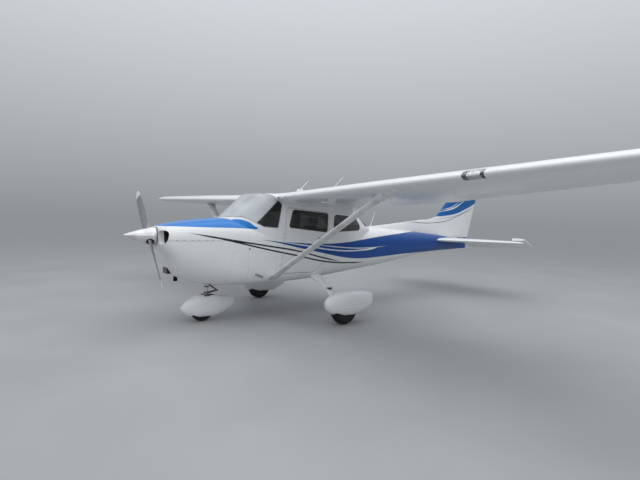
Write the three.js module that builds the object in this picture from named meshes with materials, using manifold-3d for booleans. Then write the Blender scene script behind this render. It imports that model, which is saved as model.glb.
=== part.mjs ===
// High-wing single-engine light aircraft, parked on its tricycle gear.
// Millimetres: X to port, Y aft, Z up. The ground is Z = 0 and the origin lies on the
// ground on the centreline, midway between the spinner's tip and the tail light.
import * as THREE from 'three';
import { mergeVertices } from 'three/addons/utils/BufferGeometryUtils.js';
import Module from 'manifold-3d';

const wasm = await Module();
wasm.setup();

// Driving dimensions
const HALF_SPAN = 5497;
const HALF_LENGTH = 4144;
const CENTRE_HALF_WIDTH = 555;       // wing root rib, each side of the centreline
const DIHEDRAL = 1.8;                // degrees
const WING_LEAD = { y: -2115, z: 1862 };
const GAP = 0.3;                     // between pieces that sit on each other
const CLEAR = 6;                     // between pieces that move past each other
const COWL_WALL = 6;
const CABIN_WALL = 30;
const CONE_WALL = 5;
const SKIN = 4;                      // skin of wing and tail surfaces
const PANE = 6;                      // window thickness
const MAIN_TYRE = { radius: 222.5, width: 156, x: 1280, y: -1358 };
const NOSE_TYRE = { radius: 180, width: 126, x: 0, y: -3040 };
const THRUST = { y: -3810, z: 1260, tilt: 2.5, blade: 965, clock: 49 };
const ELEVATOR = { y: 3235, z: 1178, droop: 23.5, tip: 1720 };
const RUDDER_HINGE = { y: 3260, z: 960, slope: 0.25 };
const FIREWALL = { y: -2848, z: 656, slope: 0.2242 };
const CABIN_END = 270;               // rear bulkhead, where the tail cone starts
const COWL_SEAM = 1211;              // height of the split between the cowling halves
const RING = 20;                     // points round a fuselage section
const SMALL_RING = 16;               // points round a fairing section

const degrees = THREE.MathUtils.degToRad;
const vec = (x, y, z) => new THREE.Vector3(x, y, z);

// Closed mesh to solid and back; a mesh that was mirrored is turned right side out
function solidOf(geometry) {
  const bare = geometry.clone();
  bare.deleteAttribute('normal');
  bare.deleteAttribute('uv');
  const merged = mergeVertices(bare, 1e-3);
  const points = merged.attributes.position;
  const index = Uint32Array.from(merged.index.array);
  const corner = (k) => vec(0, 0, 0).fromBufferAttribute(points, index[k]);
  let volume = 0;
  for (let k = 0; k < index.length; k += 3) {
    volume += corner(k).dot(corner(k + 1).cross(corner(k + 2)));
  }
  if (volume < 0) {
    for (let k = 0; k < index.length; k += 3) {
      [index[k], index[k + 1]] = [index[k + 1], index[k]];
    }
  }
  const kept = [];
  for (let k = 0; k < index.length; k += 3) {
    const [a, b, c] = [index[k], index[k + 1], index[k + 2]];
    if (a !== b && b !== c && c !== a) kept.push(a, b, c);
  }
  return new wasm.Manifold(new wasm.Mesh({
    numProp: 3,
    vertProperties: Float32Array.from(points.array),
    triVerts: Uint32Array.from(kept),
  }));
}

function geometryOf(solid) {
  const mesh = solid.getMesh();
  const geometry = new THREE.BufferGeometry();
  geometry.setAttribute('position', new THREE.BufferAttribute(Float32Array.from(mesh.vertProperties), 3));
  geometry.setIndex(Array.from(mesh.triVerts));
  return geometry;
}

const moved = (solid, matrix) => solidOf(geometryOf(solid).applyMatrix4(matrix));
const mirrored = (solid) => moved(solid, new THREE.Matrix4().makeScale(-1, 1, 1));
const union = (solids) => solids.reduce((sum, next) => sum.add(next));

function turned(solid, pivot, axis, angle) {
  const turn = new THREE.Matrix4().makeRotationAxis(axis.clone().normalize(), degrees(angle));
  const there = new THREE.Matrix4().makeTranslation(-pivot.x, -pivot.y, -pivot.z);
  const back = new THREE.Matrix4().makeTranslation(pivot.x, pivot.y, pivot.z);
  return moved(solid, back.multiply(turn).multiply(there));
}

// Ring of points seen along the axis that its plane faces most
function flattened(ring) {
  const normal = vec(0, 0, 0);
  ring.forEach((p, i) => normal.add(p.clone().cross(ring[(i + 1) % ring.length])));
  const size = normal.toArray().map(Math.abs);
  const drop = size.indexOf(Math.max(...size));
  return ring.map((p) => new THREE.Vector2(...p.toArray().filter((value, axis) => axis !== drop)));
}

// Loft through rings that have the same number of points, with flat ends
function loft(rings) {
  const count = rings[0].length;
  const points = rings.flat();
  const faces = [];
  for (let r = 0; r + 1 < rings.length; r += 1) {
    for (let i = 0; i < count; i += 1) {
      const a = r * count + i;
      const b = r * count + ((i + 1) % count);
      const [c, d] = [b + count, a + count];
      // The shorter diagonal keeps port and starboard faces alike
      if (points[a].distanceTo(points[c]) <= points[b].distanceTo(points[d])) faces.push(a, b, c, a, c, d);
      else faces.push(a, b, d, b, c, d);
    }
  }
  // The sides tell which way round the end caps have to run
  const directed = new Set();
  for (let k = 0; k < faces.length; k += 3) {
    directed.add(`${faces[k]},${faces[k + 1]}`);
    directed.add(`${faces[k + 1]},${faces[k + 2]}`);
    directed.add(`${faces[k + 2]},${faces[k]}`);
  }
  for (const start of [0, (rings.length - 1) * count]) {
    const ring = points.slice(start, start + count);
    const cap = THREE.ShapeUtils.triangulateShape(flattened(ring), []).map((face) => face.map((i) => start + i));
    const against = cap.some((face) => face.some((i, e) => directed.has(`${i},${face[(e + 1) % 3]}`)));
    cap.forEach((face) => faces.push(...(against ? face.reverse() : face)));
  }
  const geometry = new THREE.BufferGeometry().setFromPoints(points);
  geometry.setIndex(faces);
  return solidOf(geometry);
}

// Outline with rounded corners
function outline(corners, radius = 0) {
  const shape = new THREE.Shape();
  const count = corners.length;
  corners.forEach(([x, y], i) => {
    const here = new THREE.Vector2(x, y);
    if (radius === 0) {
      if (i === 0) shape.moveTo(x, y);
      else shape.lineTo(x, y);
      return;
    }
    const before = new THREE.Vector2(...corners[(i + count - 1) % count]).sub(here);
    const after = new THREE.Vector2(...corners[(i + 1) % count]).sub(here);
    const start = here.clone().add(before.setLength(Math.min(radius, before.length() * 0.45)));
    const end = here.clone().add(after.setLength(Math.min(radius, after.length() * 0.45)));
    if (i === 0) shape.moveTo(start.x, start.y);
    else shape.lineTo(start.x, start.y);
    shape.quadraticCurveTo(x, y, end.x, end.y);
  });
  shape.closePath();
  return shape;
}

// Corner points moved inwards by a distance; the corners run round a convex outline
function inset(corners, distance) {
  const area = corners.reduce((sum, [x, y], i) => {
    const [nx, ny] = corners[(i + 1) % corners.length];
    return sum + x * ny - nx * y;
  }, 0);
  const sign = Math.sign(area);
  return corners.map(([x, y], i) => {
    const [px, py] = corners[(i + corners.length - 1) % corners.length];
    const [nx, ny] = corners[(i + 1) % corners.length];
    const a = new THREE.Vector2(x - px, y - py).normalize();
    const b = new THREE.Vector2(nx - x, ny - y).normalize();
    const na = new THREE.Vector2(-a.y, a.x).multiplyScalar(sign);
    const nb = new THREE.Vector2(-b.y, b.x).multiplyScalar(sign);
    const push = na.clone().add(nb).multiplyScalar(distance / (1 + na.dot(nb)));
    return [x + push.x, y + push.y];
  });
}

// Straight prisms along each axis, from corner lists in the plane across it
const ALONG = {
  x: new THREE.Matrix4().makeBasis(vec(0, 1, 0), vec(0, 0, 1), vec(1, 0, 0)),
  z: new THREE.Matrix4(),
};
function prism(axis, corners, from, to, radius = 0, curveSegments = 3) {
  const shape = outline(corners, radius);
  const geometry = new THREE.ExtrudeGeometry(shape, { depth: to - from, bevelEnabled: false, curveSegments });
  return solidOf(geometry.translate(0, 0, from).applyMatrix4(ALONG[axis]));
}

function box(low, high) {
  const size = high.map((value, i) => value - low[i]);
  const geometry = new THREE.BoxGeometry(...size);
  return solidOf(geometry.translate(...low.map((value, i) => value + size[i] / 2)));
}

function rod(from, to, radiusFrom, radiusTo = radiusFrom, sides = 12) {
  const along = to.clone().sub(from);
  const geometry = new THREE.CylinderGeometry(radiusTo, radiusFrom, along.length(), sides);
  geometry.applyQuaternion(new THREE.Quaternion().setFromUnitVectors(vec(0, 1, 0), along.clone().normalize()));
  const middle = from.clone().add(to).multiplyScalar(0.5);
  return solidOf(geometry.translate(middle.x, middle.y, middle.z));
}

// Turned shape about one of the three axes through a centre; about X it stands on a flat
function lathe(profile, centre, axis, segments) {
  const geometry = new THREE.LatheGeometry(profile.map(([r, a]) => new THREE.Vector2(r, a)), segments);
  if (axis === 'x') geometry.rotateY(Math.PI / segments).rotateZ(-Math.PI / 2);
  if (axis === 'z') geometry.rotateX(Math.PI / 2);
  return solidOf(geometry.translate(centre.x, centre.y, centre.z));
}

const squircle = (value, power) => Math.sign(value) * Math.abs(value) ** (2 / power);

// Body section across Y: half width at the waist, then top and bottom as superellipses
function bodyRing(row, grow, count) {
  const [y, halfWidth, bottom, top, waist, bottomPower, topPower] = row;
  const ring = [];
  for (let i = 0; i < count; i += 1) {
    const angle = (2 * Math.PI * i) / count;
    const up = Math.sin(angle) >= 0;
    const power = up ? topPower : bottomPower;
    const height = (up ? top - waist : waist - bottom) + grow;
    ring.push(vec(
      (halfWidth + grow) * squircle(Math.cos(angle), power),
      y,
      waist + height * squircle(Math.sin(angle), power),
    ));
  }
  return ring;
}

function bodyLoft(rows, grow, endGrow = grow, count = SMALL_RING) {
  const first = rows[0];
  const last = rows[rows.length - 1];
  const shifted = rows.map((row) => {
    if (row === first) return [row[0] - endGrow, ...row.slice(1)];
    if (row === last) return [row[0] + endGrow, ...row.slice(1)];
    return row;
  });
  return loft(shifted.map((row) => bodyRing(row, grow, count)));
}

// Fuselage sections: y, half width, bottom, top, waist, bottom power, top power
const FUSELAGE = [
  [-3725, 270, 1090, 1392, 1245, 2.2, 2.2],
  [-3695, 322, 1010, 1412, 1232, 2.3, 2.3],
  [-3625, 374, 905, 1436, 1215, 2.4, 2.5],
  [-3490, 424, 712, 1464, 1200, 2.4, 2.7],
  [-3300, 460, 624, 1494, 1190, 2.6, 2.8],
  [-3050, 487, 558, 1522, 1175, 3.0, 2.9],
  [-2800, 508, 541, 1540, 1150, 4.2, 3.0],
  [-2400, 524, 540, 1490, 1130, 5.5, 3.2],
  [-1900, 530, 545, 1450, 1100, 6.0, 3.2],
  [-1400, 530, 568, 1440, 1100, 6.0, 3.0],
  [-1000, 525, 596, 1440, 1100, 5.0, 2.8],
  [-400, 473, 638, 1445, 1110, 3.8, 2.6],
  [300, 393, 690, 1440, 1120, 3.0, 2.5],
  [950, 318, 766, 1402, 1125, 2.8, 2.4],
  [1850, 215, 885, 1338, 1130, 2.6, 2.3],
  [2450, 147, 925, 1292, 1125, 2.5, 2.2],
  [3000, 84, 948, 1248, 1110, 2.4, 2.2],
  [3330, 46, 960, 1225, 1100, 2.3, 2.1],
];

const fuselage = (grow, endGrow = grow) => bodyLoft(FUSELAGE, grow, endGrow, RING);

// Cabin top, by level: z, half width, front centre, front corner, rear corner, rear centre
const CABIN_LEVELS = [
  [1150, 528, -2600, -2060, -900, 150],
  [1400, 522, -2925, -2050, -900, 235],
  [1545, 516, -2770, -2025, -800, 20],
  [1760, 508, -2520, -1990, -600, -330],
  [1880, 500, -2378, -1975, -700, -470],
  [1925, 470, -2318, -1970, -800, -600],
];
const FRONT_POWER = 2.3;
const REAR_POWER = 2.2;

function cabinTop(inward, ceiling) {
  const rings = CABIN_LEVELS.filter(([z]) => z <= ceiling || inward === 0).map((row) => {
    const [z, halfWidth, frontCentre, frontCorner, rearCorner, rearCentre] = row;
    const width = halfWidth - inward;
    const front = frontCorner - frontCentre - inward * 1.3;
    const rear = rearCentre - rearCorner - inward * 1.3;
    const ring = [];
    for (let i = 0; i <= 12; i += 1) {
      const angle = (Math.PI * i) / 12;
      ring.push(vec(
        width * squircle(Math.cos(angle), FRONT_POWER),
        frontCorner - front * squircle(Math.sin(angle), FRONT_POWER),
        z,
      ));
    }
    for (let i = 0; i <= 10; i += 1) {
      const angle = (Math.PI * i) / 10;
      ring.push(vec(
        -width * squircle(Math.cos(angle), REAR_POWER),
        rearCorner + rear * squircle(Math.sin(angle), REAR_POWER),
        z,
      ));
    }
    return ring;
  });
  return loft(rings);
}

// Wing stations: x, leading edge y, chord, incidence in degrees, share of full thickness
const WING = [
  [CENTRE_HALF_WIDTH, WING_LEAD.y, 1626, 3.5, 1],
  [2540, WING_LEAD.y, 1626, 3.5, 1],
  [5290, -2090, 1130, 1.8, 1],
  [5410, -2068, 1068, 1.7, 0.94],
  [5470, -2028, 942, 1.7, 0.74],
  [HALF_SPAN, -1940, 652, 1.7, 0.4],
];
const THICKNESS = 0.12;
const CAMBER = { height: 0.02, place: 0.4 };

const halfThickness = (c) => 5 * THICKNESS
  * (0.2969 * Math.sqrt(c) - 0.126 * c - 0.3516 * c ** 2 + 0.2843 * c ** 3 - 0.1036 * c ** 4);
const camberLine = (c) => (c < CAMBER.place
  ? (CAMBER.height / CAMBER.place ** 2) * (2 * CAMBER.place * c - c ** 2)
  : (CAMBER.height / (1 - CAMBER.place) ** 2) * (1 - 2 * CAMBER.place + 2 * CAMBER.place * c - c ** 2));

function wingStation(x) {
  const next = Math.max(1, WING.findIndex(([station]) => station >= x));
  const [a, b] = [WING[next - 1], WING[next]];
  const share = (x - a[0]) / (b[0] - a[0]);
  return a.map((value, i) => value + (b[i] - value) * share);
}

// Point of a wing section: side is 1 on top, -1 below and 0 on the camber line
function wingPoint(row, c, side, grow = 0) {
  const [x, lead, chord, incidence, share] = row;
  const up = chord * (camberLine(c) * share + side * halfThickness(c) * share) + side * grow;
  const pitch = degrees(incidence);
  const leadZ = WING_LEAD.z + (x - CENTRE_HALF_WIDTH) * Math.tan(degrees(DIHEDRAL));
  return vec(
    x,
    lead + c * chord * Math.cos(pitch) + up * Math.sin(pitch),
    leadZ - c * chord * Math.sin(pitch) + up * Math.cos(pitch),
  );
}

// Ring of a wing section from the trailing edge over the top; its points gather at the nose
function wingRing(row, grow, from = 0, to = 1, steps = 8) {
  const ring = [];
  for (let i = -steps; i <= steps; i += 1) {
    const c = from + (to - from) * (i / steps) ** 2;
    ring.push(wingPoint(row, c, i <= 0 ? 1 : -1, grow));
  }
  return ring;
}

const wingSkin = (grow) => loft(WING.map((row) => wingRing(row, grow)));

// Hinge fitting on a moving surface: an arm on the fixed side, a slot and a pin on the other
const FITTING = { arm: 8, slot: 20, end: 9, pin: 4, play: 0.6, reach: 16, sides: 8 };
function fitting(start, end, share, nose) {
  const centre = start.clone().lerp(end, share);
  const along = end.clone().sub(start).normalize();
  const aft = vec(0, 1, 0).addScaledVector(along, -along.y).normalize();
  const aligned = new THREE.Matrix4().makeBasis(along, aft, along.clone().cross(aft));
  const place = (geometry) => solidOf(geometry.applyMatrix4(aligned).translate(centre.x, centre.y, centre.z));
  const pinRod = (half, radius) => rod(centre.clone().addScaledVector(along, -half),
    centre.clone().addScaledVector(along, half), radius, radius, FITTING.sides);
  const armLength = nose + CLEAR + FITTING.reach + FITTING.end;
  const slotLength = nose + CLEAR + FITTING.end + CLEAR;
  const arm = place(new THREE.BoxGeometry(FITTING.arm, armLength, 14)
    .translate(0, FITTING.end - armLength / 2, 0));
  const slot = place(new THREE.BoxGeometry(FITTING.slot, slotLength, 4 * nose)
    .translate(0, FITTING.end + CLEAR - slotLength / 2, 0));
  return {
    arm: arm.subtract(pinRod(FITTING.arm, FITTING.pin + FITTING.play)),
    slot,
    pin: pinRod(FITTING.slot / 2 + 4, FITTING.pin),
  };
}

// Trailing surface of the wing: its hinge line, the cove it needs and the surface itself
function trailing({ inner, outer, innerChord, outerChord, shares }) {
  const rows = [wingStation(inner), wingStation(outer)];
  const places = [innerChord, outerChord];
  const [start, end] = rows.map((row, i) => wingPoint(row, places[i], 0));
  const radii = rows.map((row, i) => row[2] * halfThickness(places[i]) * 0.985);
  const behind = (extra) => prism('z', [
    [inner - extra, start.y + 1], [outer + extra, end.y + 1], [outer + extra, 200], [inner - extra, 200],
  ], 1400, 2400);
  const span = end.clone().sub(start).normalize();
  const nose = rod(start, end, radii[0], radii[1], 16);
  const cove = rod(start.clone().addScaledVector(span, -CLEAR), end.clone().addScaledVector(span, CLEAR),
    radii[0] + CLEAR, radii[1] + CLEAR, 16);
  const fittings = shares.map((share) => fitting(start, end, share, radii[0]));
  const surface = wingSkin(0).intersect(behind(0)).add(nose)
    .subtract(union(fittings.map((f) => f.slot))).add(union(fittings.map((f) => f.pin)));
  return {
    pivot: start,
    axis: span,
    cutter: behind(CLEAR).add(cove),
    arms: union(fittings.map((f) => f.arm)),
    surface,
  };
}

const flap = trailing({ inner: 640, outer: 2500, innerChord: 0.7, outerChord: 0.7, shares: [0.15, 0.85] });
const aileron = trailing({ inner: 2520, outer: 5200, innerChord: 0.785, outerChord: 0.75, shares: [0.12, 0.88] });

// Landing light bay in the port leading edge
const LANDING_LIGHT = { inner: 3720, outer: 3945, depth: 95, lens: 12 };
const bayLead = wingStation(LANDING_LIGHT.inner)[1];
const lightBay = (trim) => box(
  [LANDING_LIGHT.inner + trim, bayLead - 60, 1500],
  [LANDING_LIGHT.outer - trim, bayLead + LANDING_LIGHT.depth - trim, 2300],
);

function wingHollow() {
  const rows = [
    [CENTRE_HALF_WIDTH - 50, ...WING[0].slice(1)],
    WING[1],
    WING[2],
  ];
  return loft(rows.map((row) => wingRing(row, -SKIN, 0.09, 0.62, 5)));
}

// Cabin air inlets in the root leading edge
const airInlets = [[605, 16], [786, 10]].map(([x, radius]) => {
  const lead = wingPoint(wingStation(x), 0, 0);
  return rod(lead.clone().add(vec(0, -60, -6)), lead.clone().add(vec(0, 70, -6)), radius);
});

const wing = wingSkin(0).subtract(wingHollow())
  .subtract(box([0, -2400, 1500], [CENTRE_HALF_WIDTH + GAP, 0, 2300]))
  .subtract(flap.cutter).subtract(aileron.cutter)
  .subtract(union(airInlets))
  .add(flap.arms).add(aileron.arms);
const wingWithBay = wing.subtract(lightBay(0));
const lensCore = loft([3600, 4100].map((x) => wingRing(wingStation(x), -LANDING_LIGHT.lens, 0.02, 0.5, 3)));
const landingLens = wingSkin(0).subtract(lensCore).intersect(lightBay(GAP));

// Streamlined rods across X stations: x, y, z, half chord, half thickness
const STREAM_RING = 12;
function streamlined(rows, grow = 0) {
  return loft(rows.map(([x, y, z, chord, thick]) => {
    const ring = [];
    for (let i = 0; i < STREAM_RING; i += 1) {
      const angle = (2 * Math.PI * i) / STREAM_RING;
      ring.push(vec(x, y + (chord + grow) * Math.cos(angle), z + (thick + grow) * Math.sin(angle)));
    }
    return ring;
  }));
}
const STRUT = [
  [455, -2131, 618, 80, 20],
  [545, -2120, 672, 92, 42],
  [650, -2106, 735, 70, 31],
  [2290, -1887, 1713, 70, 31],
  [2420, -1870, 1790, 84, 42],
  [2560, -1852, 1876, 96, 70],
];
const LEG = [
  [390, -1286, 646, 100, 40],
  [520, -1297, 606, 110, 40],
  [590, -1308, 585, 90, 27],
  [900, -1364, 481, 62, 21],
  [1100, -1440, 402, 46, 18],
  [1176, -1452, 366, 42, 17],
];

// Windows and doors, as corners in side view: y, z
const WINDSHIELD = [
  [-2060, 1403], [-2400, 1482], [-2720, 1536], [-2980, 1580], [-2500, 1990], [-2330, 1878], [-1998, 1770],
];
const REAR_WINDOW = [[-400, 1700], [-118, 1450], [60, 1462], [400, 1480], [300, 1800], [-480, 1760]];
const DOOR = [[-1898, 1728], [-2008, 700], [-1350, 690], [-1135, 900], [-1062, 1664]];
const DOOR_WINDOW = [[-1790, 1697], [-1866, 1411], [-1106, 1339], [-1084, 1655]].reverse();
const SIDE_WINDOW = [[-954, 1642], [-977, 1348], [-345, 1378], [-312, 1458], [-467, 1613]];

const spanSide = (corners, trim, radius, from, to) => prism('x', inset(corners, trim), from, to, radius);
const bothSides = (corners, trim, radius) => spanSide(corners, trim, radius, -900, 900);
const portSide = (corners, trim, radius) => spanSide(corners, trim, radius, 200, 900);

// Region ahead of or behind the slanted firewall, moved along Y by a distance
const firewallY = (z, shift) => FIREWALL.y + (z - FIREWALL.z) * FIREWALL.slope + shift;
const aheadOfFirewall = (shift) => prism('x', [
  [-4400, 300], [firewallY(300, shift), 300], [firewallY(1800, shift), 1800], [-4400, 1800],
], -900, 900);

const centreSection = loft([-CENTRE_HALF_WIDTH, CENTRE_HALF_WIDTH].map((x) => {
  const ring = wingRing(WING[0], 0);
  return ring.map((p) => vec(x, p.y, p.z));
}));
const behindCabin = (shift) => box([-900, CABIN_END + shift, 300], [900, 4400, 2800]);
const cabinOuter = (inward) => fuselage(-inward).add(cabinTop(inward, 1925));
const CEILING = 1880;
const cabinHollow = fuselage(-CABIN_WALL).subtract(aheadOfFirewall(CABIN_WALL))
  .subtract(behindCabin(-CABIN_WALL)).add(cabinTop(CABIN_WALL, CEILING));

const doorHinge = {
  start: vec(535, -1998, 819),
  end: vec(535, -1998 + (1297 - 819) * 0.1073, 1297),
};
const hingeAlong = doorHinge.end.clone().sub(doorHinge.start).normalize();
const KNUCKLE = { length: 46, radius: 10, pin: 5, leaf: 34 };
const knuckles = [doorHinge.start, doorHinge.end].map((centre) => {
  const at = (shift) => centre.clone().addScaledVector(hingeAlong, shift);
  const pin = rod(at(-KNUCKLE.length / 2 - 12), at(KNUCKLE.length / 2 + 12), KNUCKLE.pin);
  const ends = [-1, 1].map((side) => {
    const middle = at(side * (KNUCKLE.length / 2 + 12));
    return box([middle.x - 34, middle.y - 40, middle.z - 5], [middle.x + 8, middle.y + 6, middle.z + 5]);
  });
  const leaf = box(
    [centre.x - 14, centre.y - 2, centre.z - KNUCKLE.length / 2 + 4],
    [centre.x - 2, centre.y + KNUCKLE.leaf, centre.z + KNUCKLE.length / 2 - 4],
  );
  const barrel = rod(at(-KNUCKLE.length / 2), at(KNUCKLE.length / 2), KNUCKLE.radius);
  const bore = rod(at(-KNUCKLE.length), at(KNUCKLE.length), KNUCKLE.pin + GAP + 0.1);
  const room = rod(at(-KNUCKLE.length / 2 - 5), at(KNUCKLE.length / 2 + 5), KNUCKLE.radius + CLEAR);
  return { fixed: pin.add(union(ends)), moving: barrel.add(leaf), bore, room };
});

const cabinWithoutHoles = cabinOuter(0).add(centreSection)
  .subtract(aheadOfFirewall(0)).subtract(behindCabin(0)).subtract(cabinHollow);
const doorPanel = cabinOuter(0).subtract(cabinHollow).intersect(portSide(DOOR, CLEAR, 60))
  .intersect(box([200, -2100, 600], [700, -1000, 1740]));
const glass = (corners, radius) => cabinOuter(0.1).subtract(cabinOuter(PANE))
  .intersect(bothSides(corners, GAP, radius));
const portOnly = box([0, -3000, 1200], [900, 500, 2000]);

const fixedKnuckles = union(knuckles.map((k) => k.fixed));
const knuckleRoom = union(knuckles.map((k) => k.room));
const cabin = cabinWithoutHoles
  .subtract(bothSides(WINDSHIELD, 0, 30)).subtract(bothSides(REAR_WINDOW, 0, 30))
  .subtract(bothSides(SIDE_WINDOW, 0, 60))
  .subtract(portSide(DOOR, 0, 64)).subtract(mirrored(portSide(DOOR, 0, 64)))
  .subtract(knuckleRoom).subtract(mirrored(knuckleRoom))
  .add(fixedKnuckles).add(mirrored(fixedKnuckles));

// The shell is made in four: floor with the door sills, roof with the door heads, front and rear
const SHELL_JOINT = {
  floorTop: 680, sillTop: 760, sillFront: -1990, floorBack: -1040,
  roofLow: 1765, headLow: 1640, headFront: -1900, headBack: -1060, middle: -1450,
};
const floorRegion = (grow) => box([-900, -4400, 300], [900, SHELL_JOINT.floorBack + grow, SHELL_JOINT.floorTop + grow])
  .add(box(
    [-900, SHELL_JOINT.sillFront - grow, 300],
    [900, SHELL_JOINT.floorBack + grow, SHELL_JOINT.sillTop + grow],
  ));
const roofRegion = (grow) => box([-900, -4400, SHELL_JOINT.roofLow - grow], [900, 4400, 2800])
  .add(box(
    [-900, SHELL_JOINT.headFront - grow, SHELL_JOINT.headLow - grow],
    [900, SHELL_JOINT.headBack + grow, 2800],
  ));
const cabinFloor = cabin.intersect(floorRegion(0));
const cabinRoof = cabin.intersect(roofRegion(0));
const cabinSides = cabin.subtract(floorRegion(GAP)).subtract(roofRegion(GAP));
const cabinFront = cabinSides.intersect(box([-900, -4400, 300], [900, SHELL_JOINT.middle, 2800]));
const cabinRear = cabinSides.intersect(box([-900, SHELL_JOINT.middle, 300], [900, 4400, 2800]));

const door = doorPanel.subtract(portSide(DOOR_WINDOW, 0, 50))
  .add(union(knuckles.map((k) => k.moving))).subtract(union(knuckles.map((k) => k.bore)));
const doorWindow = glass(DOOR_WINDOW, 50).intersect(portOnly);
const sideWindow = glass(SIDE_WINDOW, 60).intersect(portOnly);
const windshield = glass(WINDSHIELD, 30);
const rearWindow = glass(REAR_WINDOW, 30);

// Cowling: thin shell round the engine, with its air openings
const thrustAxis = vec(0, Math.cos(degrees(THRUST.tilt)), -Math.sin(degrees(THRUST.tilt)));
const hub = vec(0, THRUST.y, THRUST.z);
const onThrust = (distance) => hub.clone().addScaledVector(thrustAxis, distance);
const INTAKE = { width: 92, low: 715, high: 845 };
const CHEEK = { x: 268, low: 1160, high: 1345, halfWidth: 100, power: 3.4 };
const EXHAUST = { x: -205, y: -3372, radius: 28, low: 590, high: 840 };
const STEER = { low: vec(0, -3006, 180), high: vec(0, -2935, 860) };
const cheekHole = (side) => {
  const rows = [-3940, -3560].map((y) => [
    y, CHEEK.halfWidth, CHEEK.low, CHEEK.high, (CHEEK.low + CHEEK.high) / 2, CHEEK.power, CHEEK.power,
  ]);
  return moved(bodyLoft(rows, 0, 0, RING), new THREE.Matrix4().makeTranslation(side * CHEEK.x, 0, 0));
};
const cowlShell = fuselage(0, 0).subtract(fuselage(-COWL_WALL, -COWL_WALL)).intersect(aheadOfFirewall(-GAP))
  .subtract(cheekHole(1)).subtract(cheekHole(-1))
  .subtract(rod(onThrust(-60), onThrust(260), 62))
  .subtract(box([-INTAKE.width, -3900, INTAKE.low], [INTAKE.width, -3440, INTAKE.high]))
  .subtract(rod(vec(EXHAUST.x, EXHAUST.y, 500), vec(EXHAUST.x, EXHAUST.y, 900), EXHAUST.radius + GAP))
  .subtract(box([-70, -3040, 450], [70, -2850, 700]));
const aboveSeam = box([-900, -4400, COWL_SEAM], [900, 0, 2400]);
const cowlUpper = cowlShell.intersect(aboveSeam);
const cowlLower = cowlShell.subtract(box([-900, -4400, COWL_SEAM - GAP], [900, 0, 2400]));

const HUB = { radius: 62, half: 42 };

// Engine as one plain block with its shaft and its accessory case on the firewall
const ENGINE = { halfWidth: 400, front: -3600, back: -3000, low: 950, high: 1390 };
const engine = box([-ENGINE.halfWidth, ENGINE.front, ENGINE.low], [ENGINE.halfWidth, ENGINE.back, ENGINE.high])
  .add(box([-140, ENGINE.back - 20, 1060], [140, -2650, 1330]))
  .intersect(fuselage(-COWL_WALL - CLEAR))
  .intersect(aheadOfFirewall(-GAP))
  .add(rod(onThrust(HUB.half + GAP), onThrust(400), 42, 42, 20));

const exhaust = rod(vec(EXHAUST.x, EXHAUST.y, EXHAUST.low), vec(EXHAUST.x, EXHAUST.y, EXHAUST.high), EXHAUST.radius)
  .subtract(rod(vec(EXHAUST.x, EXHAUST.y, 500), vec(EXHAUST.x, EXHAUST.y, 820), EXHAUST.radius - 3));

// Propeller blade stations: radius, chord, thickness, pitch in degrees
const BLADE = [
  [40, 96, 64, 40],
  [130, 92, 46, 38],
  [260, 118, 28, 31],
  [480, 138, 19, 23],
  [700, 132, 13, 18],
  [880, 108, 9, 15],
  [945, 74, 7, 14],
  [THRUST.blade, 30, 4, 14],
];
const BLADE_RING = 10;
function blade(grow = 0) {
  return loft(BLADE.map(([radius, chord, thick, pitch]) => {
    const turn = degrees(pitch);
    const ring = [];
    for (let i = 0; i < BLADE_RING; i += 1) {
      const angle = (2 * Math.PI * i) / BLADE_RING;
      const along = (chord / 2 + grow) * Math.cos(angle);
      const across = (thick / 2 + grow) * Math.sin(angle);
      ring.push(vec(
        -along * Math.cos(turn) + across * Math.sin(turn),
        -along * Math.sin(turn) - across * Math.cos(turn),
        radius,
      ));
    }
    return ring;
  }));
}
const bladePair = (grow) => {
  const up = blade(grow);
  const down = moved(up, new THREE.Matrix4().makeRotationY(Math.PI));
  return up.add(down);
};
const hubCore = (grow) => lathe([
  [0, -HUB.half - grow], [HUB.radius + grow, -HUB.half - grow],
  [HUB.radius + grow, HUB.half + grow], [0, HUB.half + grow],
], vec(0, 0, 0), 'y', 20);
const seatOnThrust = new THREE.Matrix4().makeTranslation(hub.x, hub.y, hub.z)
  .multiply(new THREE.Matrix4().makeRotationX(-degrees(THRUST.tilt)))
  .multiply(new THREE.Matrix4().makeRotationY(-degrees(THRUST.clock)));
const propeller = moved(bladePair(0).add(hubCore(0)), seatOnThrust);
// Spinner profile: radius, place along the thrust axis from the hub
const SPINNER = [
  [0, -334.3], [12, -315], [29, -277], [51, -220], [77, -144], [106, -49], [134, 46], [0, 46],
];
const spinner = moved(
  lathe(SPINNER, vec(0, 0, 0), 'y', 24)
    .subtract(hubCore(GAP).add(lathe([[0, 0], [HUB.radius - 8, 0], [HUB.radius - 8, 60], [0, 60]],
      vec(0, 0, 0), 'y', 20)))
    .subtract(bladePair(3)),
  seatOnThrust,
);

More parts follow.
